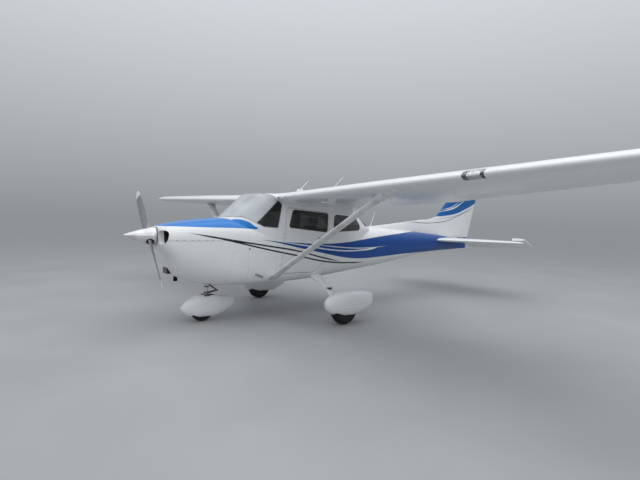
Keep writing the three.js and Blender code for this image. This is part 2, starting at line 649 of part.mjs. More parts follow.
// Tail: fin and rudder together by level: z, leading edge y, trailing edge y
const FIN = [
  [960, 2600, 3575],
  [1200, 2250, 3648],
  [1660, 2378, 3800],
  [2000, 2742, 3912],
  [2370, 3062, 4035],
  [2425, 3115, 4052],
  [2446, 3190, 4040],
];
const FIN_THICKNESS = 0.085;
function finLoft(shrink) {
  return loft(FIN.map(([z, outerLead, outerTrail]) => {
    const lead = outerLead + 2 * shrink;
    const chord = outerTrail - 2 * shrink - lead;
    const ring = [];
    const steps = 8;
    for (let i = 0; i <= 2 * steps - 1; i += 1) {
      const side = i <= steps ? 1 : -1;
      const c = (1 + Math.cos((Math.PI * i) / steps)) / 2;
      const half = chord * halfThickness(c) * (FIN_THICKNESS / THICKNESS) - shrink;
      ring.push(vec(side * Math.max(half, 1), lead + c * chord, z));
    }
    return ring;
  }));
}
const rudderHinge = (z) => vec(0, RUDDER_HINGE.y + (z - RUDDER_HINGE.z) * RUDDER_HINGE.slope, z);
const RUDDER = { low: 968, top: 2446, hornLow: 2290, horn: 165, nose: 31, fittings: [1593, 1997] };
const rudderRod = (grow, low, high) => rod(rudderHinge(low), rudderHinge(high), RUDDER.nose + grow,
  RUDDER.nose + grow, 16);
const behindRudderHinge = (low, high, shift = 0) => prism('x', [
  [rudderHinge(low).y - shift, low], [4400, low], [4400, high], [rudderHinge(high).y - shift, high],
], -300, 300);
const rudderFittings = RUDDER.fittings.map((z) => (
  fitting(rudderHinge(z), rudderHinge(RUDDER.hornLow), 0, RUDDER.nose)));
const rudderCutter = behindRudderHinge(900, 2500).add(rudderRod(CLEAR, 900, 2500))
  .add(behindRudderHinge(RUDDER.hornLow - 10, 2500, RUDDER.horn + 14));
const rudderRegion = behindRudderHinge(RUDDER.low, 2500)
  .add(behindRudderHinge(RUDDER.hornLow, 2500, RUDDER.horn));
const rudder = finLoft(0).intersect(rudderRegion)
  .add(rudderRod(0, RUDDER.low, RUDDER.hornLow + 20))
  .subtract(union(rudderFittings.map((f) => f.slot))).add(union(rudderFittings.map((f) => f.pin)));

// Dorsal fillet sections: y, half width, bottom, top, waist, bottom power, top power
const DORSAL = [
  [330, 26, 1380, 1446, 1420, 2, 2],
  [950, 40, 1340, 1510, 1400, 2, 1.6],
  [1700, 50, 1270, 1598, 1360, 2, 1.4],
  [2250, 56, 1230, 1652, 1320, 2, 1.4],
  [2520, 50, 1230, 1745, 1320, 2, 1.5],
];
const finHollow = finLoft(SKIN).intersect(box([-90, 2420, 900], [90, 3600, 2380]))
  .subtract(behindRudderHinge(800, 2500, 80));
const fin = finLoft(0).subtract(finHollow)
  .add(bodyLoft(DORSAL, 0, 0)).subtract(fuselage(GAP)).subtract(rudderCutter)
  .subtract(box([-300, 2000, 0], [300, 4000, 1215]))
  .add(union(rudderFittings.map((f) => f.arm)));

const tailLight = lathe([[0, 0], [20, 0], [20, 30], [14, 62], [0, 74]], vec(0, 0, 0), 'y', 20);
const tailLightSeat = vec(0, HALF_LENGTH - 74, 2380);
const tailLamp = moved(tailLight, new THREE.Matrix4().makeTranslation(0, tailLightSeat.y, tailLightSeat.z));
const tailLampBase = rod(vec(0, tailLightSeat.y - 70, 2380), vec(0, tailLightSeat.y - GAP, 2380), 21, 21, 20);

// Stabilizer and elevator: stations across X of one flat surface
const STABILIZER = [
  [40, 2243, 3720, 100],
  [1450, 2890, 3535, 58],
  [1650, 2982, 3508, 50],
  [ELEVATOR.tip - 12, 3030, 3500, 36],
  [ELEVATOR.tip, 3090, 3470, 20],
];
function stabilizerLoft(shrink) {
  return loft(STABILIZER.map(([x, outerLead, outerTrail, thick]) => {
    const lead = outerLead + 2 * shrink;
    const chord = outerTrail - 2 * shrink - lead;
    const ring = [];
    const steps = 8;
    for (let i = 0; i <= 2 * steps - 1; i += 1) {
      const side = i <= steps ? 1 : -1;
      const c = (1 + Math.cos((Math.PI * i) / steps)) / 2;
      const half = (thick / 2) * (halfThickness(c) / (THICKNESS / 2)) - shrink;
      ring.push(vec(x, lead + c * chord, ELEVATOR.z + side * Math.max(half, 1)));
    }
    return ring;
  }));
}
const elevatorHinge = (x) => vec(x, ELEVATOR.y, ELEVATOR.z);
const HORN = { inner: 1455, reach: 173 };
// Rounded nose of the elevator, as thick as the surface at its root and at its horn
const NOSE = { inner: 85, innerRadius: 31.5, outerRadius: 23.5, tipRadius: 15 };
const elevatorNose = (grow) => rod(elevatorHinge(NOSE.inner - grow), elevatorHinge(HORN.inner),
  NOSE.innerRadius + grow, NOSE.outerRadius + grow, 16);
const behindElevator = (from, to, shift = 0) => box([from, ELEVATOR.y - shift, 900], [to, 3900, 1400]);
const elevatorFitting = fitting(elevatorHinge(300), elevatorHinge(1300), 0.7, NOSE.innerRadius - 5);
const elevatorRegion = behindElevator(NOSE.inner, 1800).add(behindElevator(HORN.inner, 1800, HORN.reach));
const elevatorHalf = stabilizerLoft(0).intersect(elevatorRegion).add(elevatorNose(0))
  .add(rod(elevatorHinge(HORN.inner - 1), elevatorHinge(ELEVATOR.tip - 12), NOSE.outerRadius, NOSE.tipRadius, 16))
  .subtract(stabilizerLoft(SKIN).intersect(box([0, ELEVATOR.y + 40, 900], [1440, 3430, 1400])))
  .subtract(elevatorFitting.slot).add(elevatorFitting.pin)
  .subtract(prism('z', [[0, 3240], [100, 3240], [180, 3740], [0, 3740]], 1000, 1400));
const torqueTube = rod(elevatorHinge(-120), elevatorHinge(120), 18, 18, 16);
const elevator = turned(elevatorHalf.add(mirrored(elevatorHalf)).add(torqueTube),
  elevatorHinge(0), vec(1, 0, 0), -ELEVATOR.droop);
const stabilizerHollow = stabilizerLoft(SKIN).intersect(box([0, 2300, 1000], [1400, 3120, 1400]));
const stabilizer = stabilizerLoft(0).subtract(stabilizerHollow)
  .subtract(behindElevator(-10, 1800))
  .subtract(elevatorNose(CLEAR))
  .subtract(behindElevator(HORN.inner - CLEAR - 2, 1800, HORN.reach + 12))
  .subtract(fuselage(GAP)).subtract(box([-10, 3000, 900], [95, 3900, 1400]))
  .add(elevatorFitting.arm);
const stabilizerKeep = stabilizer.intersect(box([60, 2000, 900], [1900, 3900, 1500]));

const cone = fuselage(0, 0).subtract(fuselage(-CONE_WALL, -CONE_WALL))
  .intersect(behindCabin(GAP)).subtract(rudderCutter)
  .subtract(rod(elevatorHinge(-200), elevatorHinge(200), 18 + GAP + 0.3, 18 + GAP + 0.3, 16));

// Wheels: tyre profile by radius and place across, then the hub inside it
const TYRE_RING = 28;
function tyre({ radius, width, x, y }) {
  const half = width / 2;
  const rim = radius * 0.42;
  const tread = radius / Math.cos(Math.PI / TYRE_RING);
  return lathe([
    [rim, -half * 0.76], [tread * 0.68, -half], [tread * 0.87, -half * 0.94],
    [tread * 0.97, -half * 0.66], [tread, -half * 0.3], [tread, half * 0.3], [tread * 0.97, half * 0.66],
    [tread * 0.87, half * 0.94], [tread * 0.68, half], [rim, half * 0.76], [rim, -half * 0.76],
  ], vec(x, y, radius), 'x', TYRE_RING);
}
function wheelHub({ radius, width, x, y }, bore) {
  const half = width / 2;
  const rim = radius * 0.42 * Math.cos(Math.PI / TYRE_RING) - GAP;
  return lathe([
    [bore, -half * 0.6], [bore + 16, -half * 0.6], [rim - 10, -half * 0.4], [rim - 8, -half * 0.7],
    [rim, -half * 0.7], [rim, half * 0.7], [rim - 8, half * 0.7], [rim - 10, half * 0.4],
    [bore + 16, half * 0.6], [bore, half * 0.6], [bore, -half * 0.6],
  ], vec(x, y, radius), 'x', 16);
}
const AXLE_PLAY = 0.6;
const MAIN_AXLE = 19;
const NOSE_AXLE = 14;

// Wheel fairings: y, half width, bottom, top, waist, bottom power, top power
const MAIN_FAIRING = [
  [-1722, 22, 290, 345, 320, 2, 2],
  [-1690, 62, 232, 392, 315, 2.1, 2.1],
  [-1600, 100, 172, 442, 305, 2.3, 2.2],
  [-1430, 132, 130, 482, 300, 2.6, 2.3],
  [-1261, 140, 122, 494, 300, 2.7, 2.3],
  [-1080, 130, 134, 474, 300, 2.6, 2.3],
  [-930, 98, 172, 432, 302, 2.4, 2.2],
  [-815, 52, 234, 372, 305, 2.2, 2.1],
  [-778, 26, 272, 338, 305, 2, 2],
];
const NOSE_FAIRING = [
  [-3362, 12, 184, 222, 203, 2, 2],
  [-3330, 44, 140, 266, 203, 2.1, 2.1],
  [-3235, 86, 84, 332, 204, 2.2, 2.3],
  [-3085, 114, 50, 386, 206, 2.5, 3.0],
  [-2920, 114, 48, 388, 210, 2.5, 3.0],
  [-2770, 98, 68, 360, 216, 2.4, 2.5],
  [-2640, 68, 116, 326, 224, 2.3, 2.3],
  [-2540, 34, 168, 292, 230, 2.2, 2.2],
];
function fairing(rows, wheel) {
  const shell = bodyLoft(rows, 0, 0).subtract(bodyLoft(rows, -SKIN, -SKIN));
  const half = wheel.width / 2 + 14;
  const mouth = wheel.radius + 12;
  return shell.subtract(box([-half, wheel.y - mouth, -50], [half, wheel.y + mouth, wheel.radius * 0.9]));
}
const at = (x) => new THREE.Matrix4().makeTranslation(x, 0, 0);
const mainFairing = moved(fairing(MAIN_FAIRING, MAIN_TYRE), at(MAIN_TYRE.x)).subtract(streamlined(LEG, GAP));

// Plate from the end of the leg down to the axle, inside the fairing
const AXLE_PLATE = { inner: 1172, outer: 1186 };
const PLATE = [[-1482, 350], [-1462, 379], [-1420, 382], [-1326, 236], [-1326, 202], [-1390, 202]];
const mainAxle = rod(vec(AXLE_PLATE.inner, MAIN_TYRE.y, MAIN_TYRE.radius),
  vec(MAIN_TYRE.x + 65, MAIN_TYRE.y, MAIN_TYRE.radius), MAIN_AXLE, MAIN_AXLE, 16);
const leg = streamlined(LEG).subtract(fuselage(GAP))
  .add(prism('x', PLATE, AXLE_PLATE.inner, AXLE_PLATE.outer)).add(mainAxle);
const strut = streamlined(STRUT).subtract(fuselage(GAP)).subtract(wingSkin(GAP));

// Nose gear: fixed housing, then the piston, fork and scissor link that steer
const steerUp = STEER.high.clone().sub(STEER.low).normalize();
const onSteer = (z) => STEER.low.clone().addScaledVector(steerUp, (z - STEER.low.z) / steerUp.z);
const PISTON = 22;
const housing = rod(onSteer(520), onSteer(850), 36, 36, 12)
  .subtract(rod(onSteer(480), onSteer(640), PISTON + GAP + 0.2, PISTON + GAP + 0.2, 16))
  .add(box([-30, -2950, 770], [30, -2700, 830]).intersect(aheadOfFirewall(-GAP)));
const FORK = { inner: 69, outer: 81, crownLow: 367, crownHigh: 394, front: -3032, back: -2950 };
const FORK_ARM = [[-3060, 168], [-3030, 160], [-3010, 180], [-2962, 380], [-3026, 380], [-3060, 200]];
const forkArm = (side) => prism('x', FORK_ARM, Math.min(side * FORK.inner, side * FORK.outer),
  Math.max(side * FORK.inner, side * FORK.outer));
const forkCrown = (grow, low) => box([-FORK.outer - grow, FORK.front - grow, low],
  [FORK.outer + grow, FORK.back + grow, FORK.crownHigh + grow]);
const LINK = [[-2944, 400], [-2800, 438], [-2905, 536], [-2930, 512], [-2846, 442], [-2950, 424]];
const link = (side) => prism('x', LINK, side * 26 - 5, side * 26 + 5);
const fork = rod(onSteer(392), onSteer(632), PISTON, PISTON, 16)
  .add(forkCrown(0, FORK.crownLow)).add(forkArm(1)).add(forkArm(-1))
  .add(rod(vec(-FORK.outer, NOSE_TYRE.y, NOSE_TYRE.radius), vec(FORK.outer, NOSE_TYRE.y, NOSE_TYRE.radius),
    NOSE_AXLE, NOSE_AXLE, 16))
  .add(link(1)).add(link(-1))
  .add(rod(onSteer(498), onSteer(516), 34, 34, 12)).add(rod(onSteer(405), onSteer(428), 34, 34, 12))
  .add(box([-31, -2956, 404], [31, -2924, 426])).add(box([-31, -2942, 500], [31, -2906, 516]));
const noseFairing = fairing(NOSE_FAIRING, NOSE_TYRE).subtract(forkCrown(GAP, FORK.crownLow - 20))
  .subtract(rod(onSteer(300), onSteer(700), PISTON + GAP + 0.2, PISTON + GAP + 0.2, 16))
  .subtract(rod(onSteer(360), onSteer(700), 34 + GAP, 34 + GAP, 12))
  .subtract(box([-60, -2955, 350], [60, -2850, 460]));

// Cabin fittings, each trimmed to the cabin's inside
const roomInside = fuselage(-CABIN_WALL - GAP).subtract(aheadOfFirewall(CABIN_WALL + GAP))
  .subtract(behindCabin(-CABIN_WALL - GAP)).add(cabinTop(CABIN_WALL + GAP, CEILING));
const PANEL = [[-2560, 1415], [-2250, 1432], [-2235, 1405], [-2300, 1360], [-2292, 1060], [-2420, 1060], [-2440, 1340]];
const yoke = (x) => rod(vec(x, -2310, 1205), vec(x, -2130, 1225), 14, 14, 16)
  .add(prism('x', [[-2150, 1190], [-2125, 1192], [-2130, 1260], [-2155, 1258]], x - 120, x + 120));
const panel = prism('x', PANEL, -480, 480).intersect(roomInside).add(yoke(235)).add(yoke(-235));
const SEAT = [
  [-1840, 930], [-1820, 980], [-1420, 950], [-1290, 1500], [-1235, 1590], [-1165, 1580], [-1185, 1480],
  [-1320, 900], [-1400, 860], [-1400, 600], [-1760, 600], [-1760, 880],
];
const REAR_SEAT = [
  [-990, 900], [-975, 950], [-600, 925], [-480, 1430], [-380, 1440], [-430, 1300], [-520, 880], [-560, 640],
  [-900, 610], [-900, 870],
];
const frontSeat = prism('x', SEAT, 55, 465).intersect(roomInside);
const rearSeat = prism('x', REAR_SEAT, -440, 440).intersect(roomInside);

// Small pieces outside: beacon, pitot head and whip aerials
const beacon = lathe([[0, 0], [34, 0], [34, 24], [28, 60], [16, 80], [0, 86]], vec(0, 3330, 2446 + GAP), 'z', 24);
const pitot = prism('x', [[-1890, 1770], [-1846, 1770], [-1838, 1880], [-1900, 1880]], 1494, 1506)
  .add(rod(vec(1500, -1988, 1776), vec(1500, -1850, 1776), 9, 9, 16)).subtract(wingSkin(GAP));
// Whip on a foot: half width, half length and height of the foot above the skin
function whip(base, tip, [halfWidth, halfLength, height]) {
  return rod(base.clone().add(vec(0, 0, -10)), tip, 6, 2.5, 12).add(box(
    [base.x - halfWidth, base.y - halfLength, base.z - 40],
    [base.x + halfWidth, base.y + halfLength, base.z + height],
  ));
}
const topOf = (y) => {
  const c = (y - WING_LEAD.y) / 1626;
  return wingPoint(WING[0], c, 1).z;
};
const WHIP_X = 300;
const cabinTopSkin = centreSection.add(cabinTop(0, 1925));
const whipTail = whip(vec(0, 388, 1450), vec(0, 500, 1735), [14, 22, 14]).subtract(fuselage(GAP))
  .subtract(bodyLoft(DORSAL, GAP, GAP));
const roofWhip = (y, lean, rise, foot) => whip(
  vec(WHIP_X, y, topOf(y)), vec(WHIP_X, y + lean, topOf(y) + rise), foot).subtract(cabinTopSkin);

// Materials
const standard = (color, roughness, metalness, extra = {}) => new THREE.MeshStandardMaterial({
  color, roughness, metalness, ...extra,
});
const MATERIAL = {
  white: standard(0xe9ebee, 0.3, 0.1),
  metal: standard(0xa8acb0, 0.4, 0.8),
  iron: standard(0x55585c, 0.6, 0.6),
  chrome: standard(0xd0d4d8, 0.12, 1),
  blade: standard(0x8f949a, 0.35, 0.6),
  tyre: standard(0x17181a, 0.85, 0),
  glass: standard(0x1c2226, 0.05, 0, { transparent: true, opacity: 0.4 }),
  dark: standard(0x1d1e20, 0.8, 0),
  seat: standard(0xb7a98c, 0.9, 0),
  red: standard(0xb01818, 0.2, 0),
};

// The aircraft: each moving body is a group at its hinge point, with its axis kept beside it
const aircraft = new THREE.Group();
function body(parent, pivot, axis) {
  const group = new THREE.Group();
  const origin = parent.userData.pivot ?? vec(0, 0, 0);
  group.position.copy(pivot).sub(origin);
  group.userData = { pivot, axis };
  parent.add(group);
  return group;
}
function add(group, name, solid, material) {
  const pivot = group.userData.pivot ?? vec(0, 0, 0);
  const geometry = geometryOf(solid).translate(-pivot.x, -pivot.y, -pivot.z);
  geometry.computeVertexNormals();
  const mesh = new THREE.Mesh(geometry, material);
  mesh.name = name;
  group.add(mesh);
}
// Left and right pieces: the starboard one is the port one mirrored
function addPair(name, solid, material) {
  add(aircraft, `${name}_port`, solid, material);
  add(aircraft, `${name}_starboard`, mirrored(solid), material);
}
const SIDES = [['port', 1], ['starboard', -1]];
const sided = (solid, sign) => (sign > 0 ? solid : mirrored(solid));

add(aircraft, 'cowling_upper', cowlUpper, MATERIAL.white);
add(aircraft, 'cowling_lower', cowlLower, MATERIAL.white);
add(aircraft, 'engine_block', engine, MATERIAL.iron);
add(aircraft, 'exhaust_pipe', exhaust, MATERIAL.iron);
add(aircraft, 'cabin_front', cabinFront, MATERIAL.white);
add(aircraft, 'cabin_rear', cabinRear, MATERIAL.white);
add(aircraft, 'cabin_floor', cabinFloor, MATERIAL.white);
add(aircraft, 'cabin_roof', cabinRoof, MATERIAL.white);
add(aircraft, 'tail_cone', cone, MATERIAL.white);
add(aircraft, 'fin', fin, MATERIAL.white);
add(aircraft, 'windshield', windshield, MATERIAL.glass);
add(aircraft, 'rear_window', rearWindow, MATERIAL.glass);
addPair('side_window', sideWindow, MATERIAL.glass);
add(aircraft, 'instrument_panel', panel, MATERIAL.dark);
addPair('seat_front', frontSeat, MATERIAL.seat);
add(aircraft, 'seat_rear', rearSeat, MATERIAL.seat);
add(aircraft, 'wing_port', wingWithBay, MATERIAL.white);
add(aircraft, 'wing_starboard', mirrored(wing), MATERIAL.white);
add(aircraft, 'landing_light', landingLens, MATERIAL.glass);
addPair('wing_strut', strut, MATERIAL.metal);
addPair('gear_leg', leg, MATERIAL.white);
addPair('main_fairing', mainFairing, MATERIAL.white);
addPair('stabilizer', stabilizerKeep, MATERIAL.white);
add(aircraft, 'nose_strut_housing', housing, MATERIAL.metal);
add(aircraft, 'beacon', beacon, MATERIAL.red);
add(aircraft, 'pitot_tube', pitot, MATERIAL.metal);
add(aircraft, 'aerial_tail', whipTail, MATERIAL.white);
add(aircraft, 'aerial_front', roofWhip(-1510, 205, 195, [15, 80, 64]), MATERIAL.white);
add(aircraft, 'aerial_rear', roofWhip(-980, 350, 315, [14, 34, 12]), MATERIAL.white);

const propellerBody = body(aircraft, hub, thrustAxis);
add(propellerBody, 'propeller', propeller, MATERIAL.blade);
add(propellerBody, 'spinner', spinner, MATERIAL.white);

for (const [side, sign] of SIDES) {
  const wheel = body(aircraft, vec(sign * MAIN_TYRE.x, MAIN_TYRE.y, MAIN_TYRE.radius), vec(1, 0, 0));
  add(wheel, `tyre_main_${side}`, sided(tyre(MAIN_TYRE), sign), MATERIAL.tyre);
  add(wheel, `wheel_main_${side}`, sided(wheelHub(MAIN_TYRE, MAIN_AXLE + AXLE_PLAY), sign), MATERIAL.metal);

  const doorBody = body(aircraft, vec(sign * doorHinge.start.x, doorHinge.start.y, doorHinge.start.z), hingeAlong);
  add(doorBody, `door_${side}`, sided(door, sign), MATERIAL.white);
  add(doorBody, `door_window_${side}`, sided(doorWindow, sign), MATERIAL.glass);

  for (const [name, part] of [['aileron', aileron], ['flap', flap]]) {
    const pivot = vec(sign * part.pivot.x, part.pivot.y, part.pivot.z);
    const axis = vec(part.axis.x, sign * part.axis.y, sign * part.axis.z);
    add(body(aircraft, pivot, axis), `${name}_${side}`, sided(part.surface, sign), MATERIAL.white);
  }
}

add(body(aircraft, elevatorHinge(0), vec(1, 0, 0)), 'elevator', elevator, MATERIAL.white);
const rudderAxis = rudderHinge(2000).sub(rudderHinge(1000)).normalize();
const rudderBody = body(aircraft, rudderHinge(1000), rudderAxis);
add(rudderBody, 'rudder', rudder.add(tailLampBase), MATERIAL.white);
add(rudderBody, 'tail_light', tailLamp, MATERIAL.glass);

const steering = body(aircraft, onSteer(500), steerUp);
add(steering, 'nose_fork', fork, MATERIAL.chrome);
add(steering, 'nose_fairing', noseFairing, MATERIAL.white);
const noseWheel = body(steering, vec(0, NOSE_TYRE.y, NOSE_TYRE.radius), vec(1, 0, 0));
add(noseWheel, 'tyre_nose', tyre(NOSE_TYRE), MATERIAL.tyre);
add(noseWheel, 'wheel_nose', wheelHub(NOSE_TYRE, NOSE_AXLE + AXLE_PLAY), MATERIAL.metal);

export default aircraft;
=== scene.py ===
# Looks of a parked high-wing light aircraft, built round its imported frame.
# X to port, Y aft, Z up, ground at Z = 0. Section tables are in millimetres, everything else in metres.
import math
import bmesh
import bpy
from mathutils import Matrix, Vector


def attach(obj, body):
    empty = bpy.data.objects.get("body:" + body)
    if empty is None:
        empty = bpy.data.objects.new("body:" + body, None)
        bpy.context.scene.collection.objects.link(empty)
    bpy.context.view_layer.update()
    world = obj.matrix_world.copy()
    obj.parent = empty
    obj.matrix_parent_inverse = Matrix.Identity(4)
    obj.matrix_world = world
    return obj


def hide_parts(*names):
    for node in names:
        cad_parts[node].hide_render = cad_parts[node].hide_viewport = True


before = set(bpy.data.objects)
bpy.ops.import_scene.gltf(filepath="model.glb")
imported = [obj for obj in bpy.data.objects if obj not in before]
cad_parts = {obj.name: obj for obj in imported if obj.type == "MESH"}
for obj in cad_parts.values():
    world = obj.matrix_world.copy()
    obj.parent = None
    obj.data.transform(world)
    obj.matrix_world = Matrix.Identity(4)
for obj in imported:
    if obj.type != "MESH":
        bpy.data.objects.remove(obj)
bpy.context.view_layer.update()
MM = 0.001
SIDES = (("port", 1), ("starboard", -1))

# Camera of the photograph
IMAGE_WIDTH = 640
FOCAL_PIXELS = 424.54
SENSOR = 36
CAMERA_PLACE = (6.037, -5.483, 1.506)
CAMERA_AZIMUTH, CAMERA_TILT, CAMERA_ROLL = (math.radians(a) for a in (52.52, 2.39, 1.392))


# Rows and rings
def eased(rows, place):
    """Row of a table at one place, each column led smoothly through the given rows."""
    place = min(max(place, rows[0][0]), rows[-1][0])
    k = max(1, next((i for i, row in enumerate(rows) if row[0] >= place), len(rows) - 1))
    span = rows[k][0] - rows[k - 1][0]
    t = (place - rows[k - 1][0]) / span

    def slope(i, column):
        rises = []
        for a, b in ((i - 1, i), (i, i + 1)):
            if a >= 0 and b < len(rows):
                rises.append((rows[b][column] - rows[a][column]) / (rows[b][0] - rows[a][0]))
        if len(rises) == 1:
            return rises[0]
        return 0 if rises[0] * rises[1] <= 0 else 2 * rises[0] * rises[1] / (rises[0] + rises[1])

    row = []
    for column, (low, high) in enumerate(zip(rows[k - 1], rows[k])):
        bend = (slope(k - 1, column) * t * (1 - t) ** 2 - slope(k, column) * t * t * (1 - t)) * span
        row.append(low + (high - low) * t * t * (3 - 2 * t) + bend)
    return row


def straight(rows, place):
    """Row of a table at one place, straight between the given rows."""
    k = max(next((i for i, row in enumerate(rows) if row[0] >= place), len(rows) - 1), 1)
    low, high = rows[k - 1], rows[k]
    share = (place - low[0]) / (high[0] - low[0])
    return [a + (b - a) * share for a, b in zip(low, high)]


def spread(low, high, step):
    count = max(1, round((high - low) / step))
    return [low + (high - low) * i / count for i in range(count + 1)]


def places(rows, step):
    """Even places along a table, with every given row among them."""
    found = []
    for a, b in zip(rows, rows[1:]):
        found += spread(a[0], b[0], step)[:-1]
    return found + [rows[-1][0]]


def even(points, count):
    """The same closed line with its points evenly spaced."""
    closed = [Vector(p) for p in points] + [Vector(points[0])]
    run = [0]
    for a, b in zip(closed, closed[1:]):
        run.append(run[-1] + (b - a).length)
    spaced, k = [], 0
    for i in range(count):
        want = run[-1] * i / count
        while run[k + 1] < want:
            k += 1
        spaced.append(closed[k].lerp(closed[k + 1], (want - run[k]) / max(run[k + 1] - run[k], 1e-9)))
    return spaced


def squircle(value, power):
    return math.copysign(abs(value) ** (2 / power), value)


def turns(count):
    return [2 * math.pi * k / count for k in range(count)]


DENSE = 240


def body_ring(row, grow, count):
    """Section across Y: half width at the waist, then top and bottom as superellipses."""
    y, half, bottom, top, waist, low_power, top_power = row
    points = []
    for angle in turns(DENSE):
        up = math.sin(angle) >= 0
        power = top_power if up else low_power
        height = (top - waist if up else waist - bottom) + grow
        points.append(((half + grow) * squircle(math.cos(angle), power), y,
                       waist + height * squircle(math.sin(angle), power)))
    return even(points, count)


# Meshes
def loft(rings, capped=True):
    """Closed skin through rings of points in millimetres."""
    bm = bmesh.new()
    loops = []
    for ring in rings:
        verts = [bm.verts.new(Vector(p) * MM) for p in ring]
        loops.append([bm.edges.new((verts[i - 1], verts[i])) for i in range(len(verts))])
    for before, after in zip(loops, loops[1:]):
        bmesh.ops.bridge_loops(bm, edges=before + after)
    if capped:
        for ends in (loops[0], loops[-1]):
            bmesh.ops.contextual_create(bm, geom=ends)
    bmesh.ops.recalc_face_normals(bm, faces=bm.faces)
    return bm


def body_loft(rows, grow, count, step):
    first, last = rows[0][0], rows[-1][0]
    rings = []
    for place in places(rows, step):
        row = eased(rows, place)
        if place == first:
            row[0] -= grow
        elif place == last:
            row[0] += grow
        elif not first - grow < place < last + grow:
            continue
        rings.append(body_ring(row, grow, count))
    return loft(rings)


def rounded(corners, radius, steps=8):
    """Outline with rounded corners, from corner points."""
    if radius == 0:
        return [Vector(c) for c in corners]
    points = []
    count = len(corners)
    for i, corner in enumerate(corners):
        here = Vector(corner)
        before = Vector(corners[i - 1]) - here
        after = Vector(corners[(i + 1) % count]) - here
        start = here + before.normalized() * min(radius, before.length * 0.45)
        end = here + after.normalized() * min(radius, after.length * 0.45)
        for k in range(steps + 1):
            t = k / steps
            points.append(start * (1 - t) ** 2 + here * 2 * t * (1 - t) + end * t * t)
    return points


def inset(corners, distance):
    """Corner points of a convex outline moved inwards by a distance."""
    count = len(corners)
    area = sum(corners[i - 1][0] * corners[i][1] - corners[i][0] * corners[i - 1][1] for i in range(count))
    sign = 1 if area > 0 else -1
    moved = []
    for i, corner in enumerate(corners):
        a = (Vector(corner) - Vector(corners[i - 1])).normalized()
        b = (Vector(corners[(i + 1) % count]) - Vector(corner)).normalized()
        na, nb = (Vector((-v.y, v.x)) * sign for v in (a, b))
        moved.append(tuple(Vector(corner) + (na + nb) * (distance / (1 + na.dot(nb)))))
    return moved


AXIS_POINT = {
    "x": lambda u, v, along: (along, u, v),
    "y": lambda u, v, along: (u, along, v),
    "z": lambda u, v, along: (u, v, along),
}


def prism(axis, corners, low, high, radius=0, steps=8):
    """Straight prism in millimetres along an axis, from an outline in the plane across it."""
    outline = rounded(corners, radius, steps)
    point = AXIS_POINT[axis]
    bm = bmesh.new()
    face = bm.faces.new([bm.verts.new(Vector(point(p[0], p[1], low)) * MM) for p in outline])
    pushed = bmesh.ops.extrude_face_region(bm, geom=[face])["geom"]
    shift = Vector(point(0, 0, high - low)) * MM
    bmesh.ops.translate(bm, vec=shift, verts=[g for g in pushed if isinstance(g, bmesh.types.BMVert)])
    bmesh.ops.recalc_face_normals(bm, faces=bm.faces)
    return bm


def seat_at(x, y, z):
    """Place in millimetres as a matrix."""
    return Matrix.Translation(Vector((x, y, z)) * MM)


FACING_AFT = Matrix.Rotation(-math.pi / 2, 4, "X")


def facing(out):
    return Vector(out).to_track_quat("Z", "Y").to_matrix().to_4x4()


def linked(name, data):
    obj = bpy.data.objects.new(name, data)
    bpy.context.scene.collection.objects.link(obj)
    return obj


def block(low, high):
    size = [(b - a) * MM for a, b in zip(low, high)]
    middle = [(a + b) / 2 * MM for a, b in zip(low, high)]
    bm = bmesh.new()
    bmesh.ops.create_cube(bm, size=1, matrix=Matrix.Translation(middle) @ Matrix.Diagonal((*size, 1)))
    return bm


def rod(start, end, radius, end_radius=None, sides=32):
    """Round bar between two points in millimetres."""
    start, end = Vector(start) * MM, Vector(end) * MM
    along = end - start
    place = Matrix.Translation((start + end) / 2) @ facing(along)
    bm = bmesh.new()
    bmesh.ops.create_cone(bm, cap_ends=True, segments=sides, radius1=radius * MM,
                          radius2=(radius if end_radius is None else end_radius) * MM,
                          depth=along.length, matrix=place)
    return bm


def turned(profile, place=Matrix(), steps=96):
    """Shape spun from a profile of radius and place along its own Z, in millimetres."""
    bm = bmesh.new()
    verts = [bm.verts.new((r * MM, 0, z * MM)) for r, z in profile]
    edges = [bm.edges.new((a, b)) for a, b in zip(verts, verts[1:])]
    bmesh.ops.spin(bm, geom=verts + edges, cent=(0, 0, 0), axis=(0, 0, 1), angle=2 * math.pi,
                   steps=steps, use_merge=True)
    bmesh.ops.remove_doubles(bm, verts=bm.verts, dist=1e-6)
    bmesh.ops.recalc_face_normals(bm, faces=bm.faces)
    return moved(bm, place)


def swept(points, radius, sides=12, closed=False):
    """Round tube along points in millimetres, with closed ends or as one closed loop."""
    path = [Vector(p) for p in points]
    count = len(path)
    rings = []
    side = None
    for i, here in enumerate(path):
        before = path[i - 1] if i or closed else here
        after = path[(i + 1) % count] if i + 1 < count or closed else here
        along = (after - before).normalized()
        if side is None:
            side = along.orthogonal().normalized()
        side = (side - along * side.dot(along)).normalized()
        across = along.cross(side)
        size = radius[i] if isinstance(radius, (list, tuple)) else radius
        rings.append([here + (side * math.cos(a) + across * math.sin(a)) * size for a in turns(sides)])
    return loft(rings + rings[:1], capped=False) if closed else loft(rings)


def moved(bm, matrix):
    bmesh.ops.transform(bm, matrix=matrix, verts=bm.verts)
    return bm


def mirrored(bm):
    other = moved(bm.copy(), Matrix.Diagonal((-1, 1, 1, 1)))
    bmesh.ops.reverse_faces(other, faces=other.faces)
    return other


def to_side(bm, sign):
    """Copy of a port-side mesh for one side."""
    return bm.copy() if sign > 0 else mirrored(bm)


def both_sides(*parts):
    return together(*parts, *map(mirrored, parts))


def together(*parts):
    """Several meshes in one, each kept as it is."""
    whole = bmesh.new()
    for part in parts:
        mesh = bpy.data.meshes.new("part")
        part.to_mesh(mesh)
        whole.from_mesh(mesh)
        bpy.data.meshes.remove(mesh)
    return whole


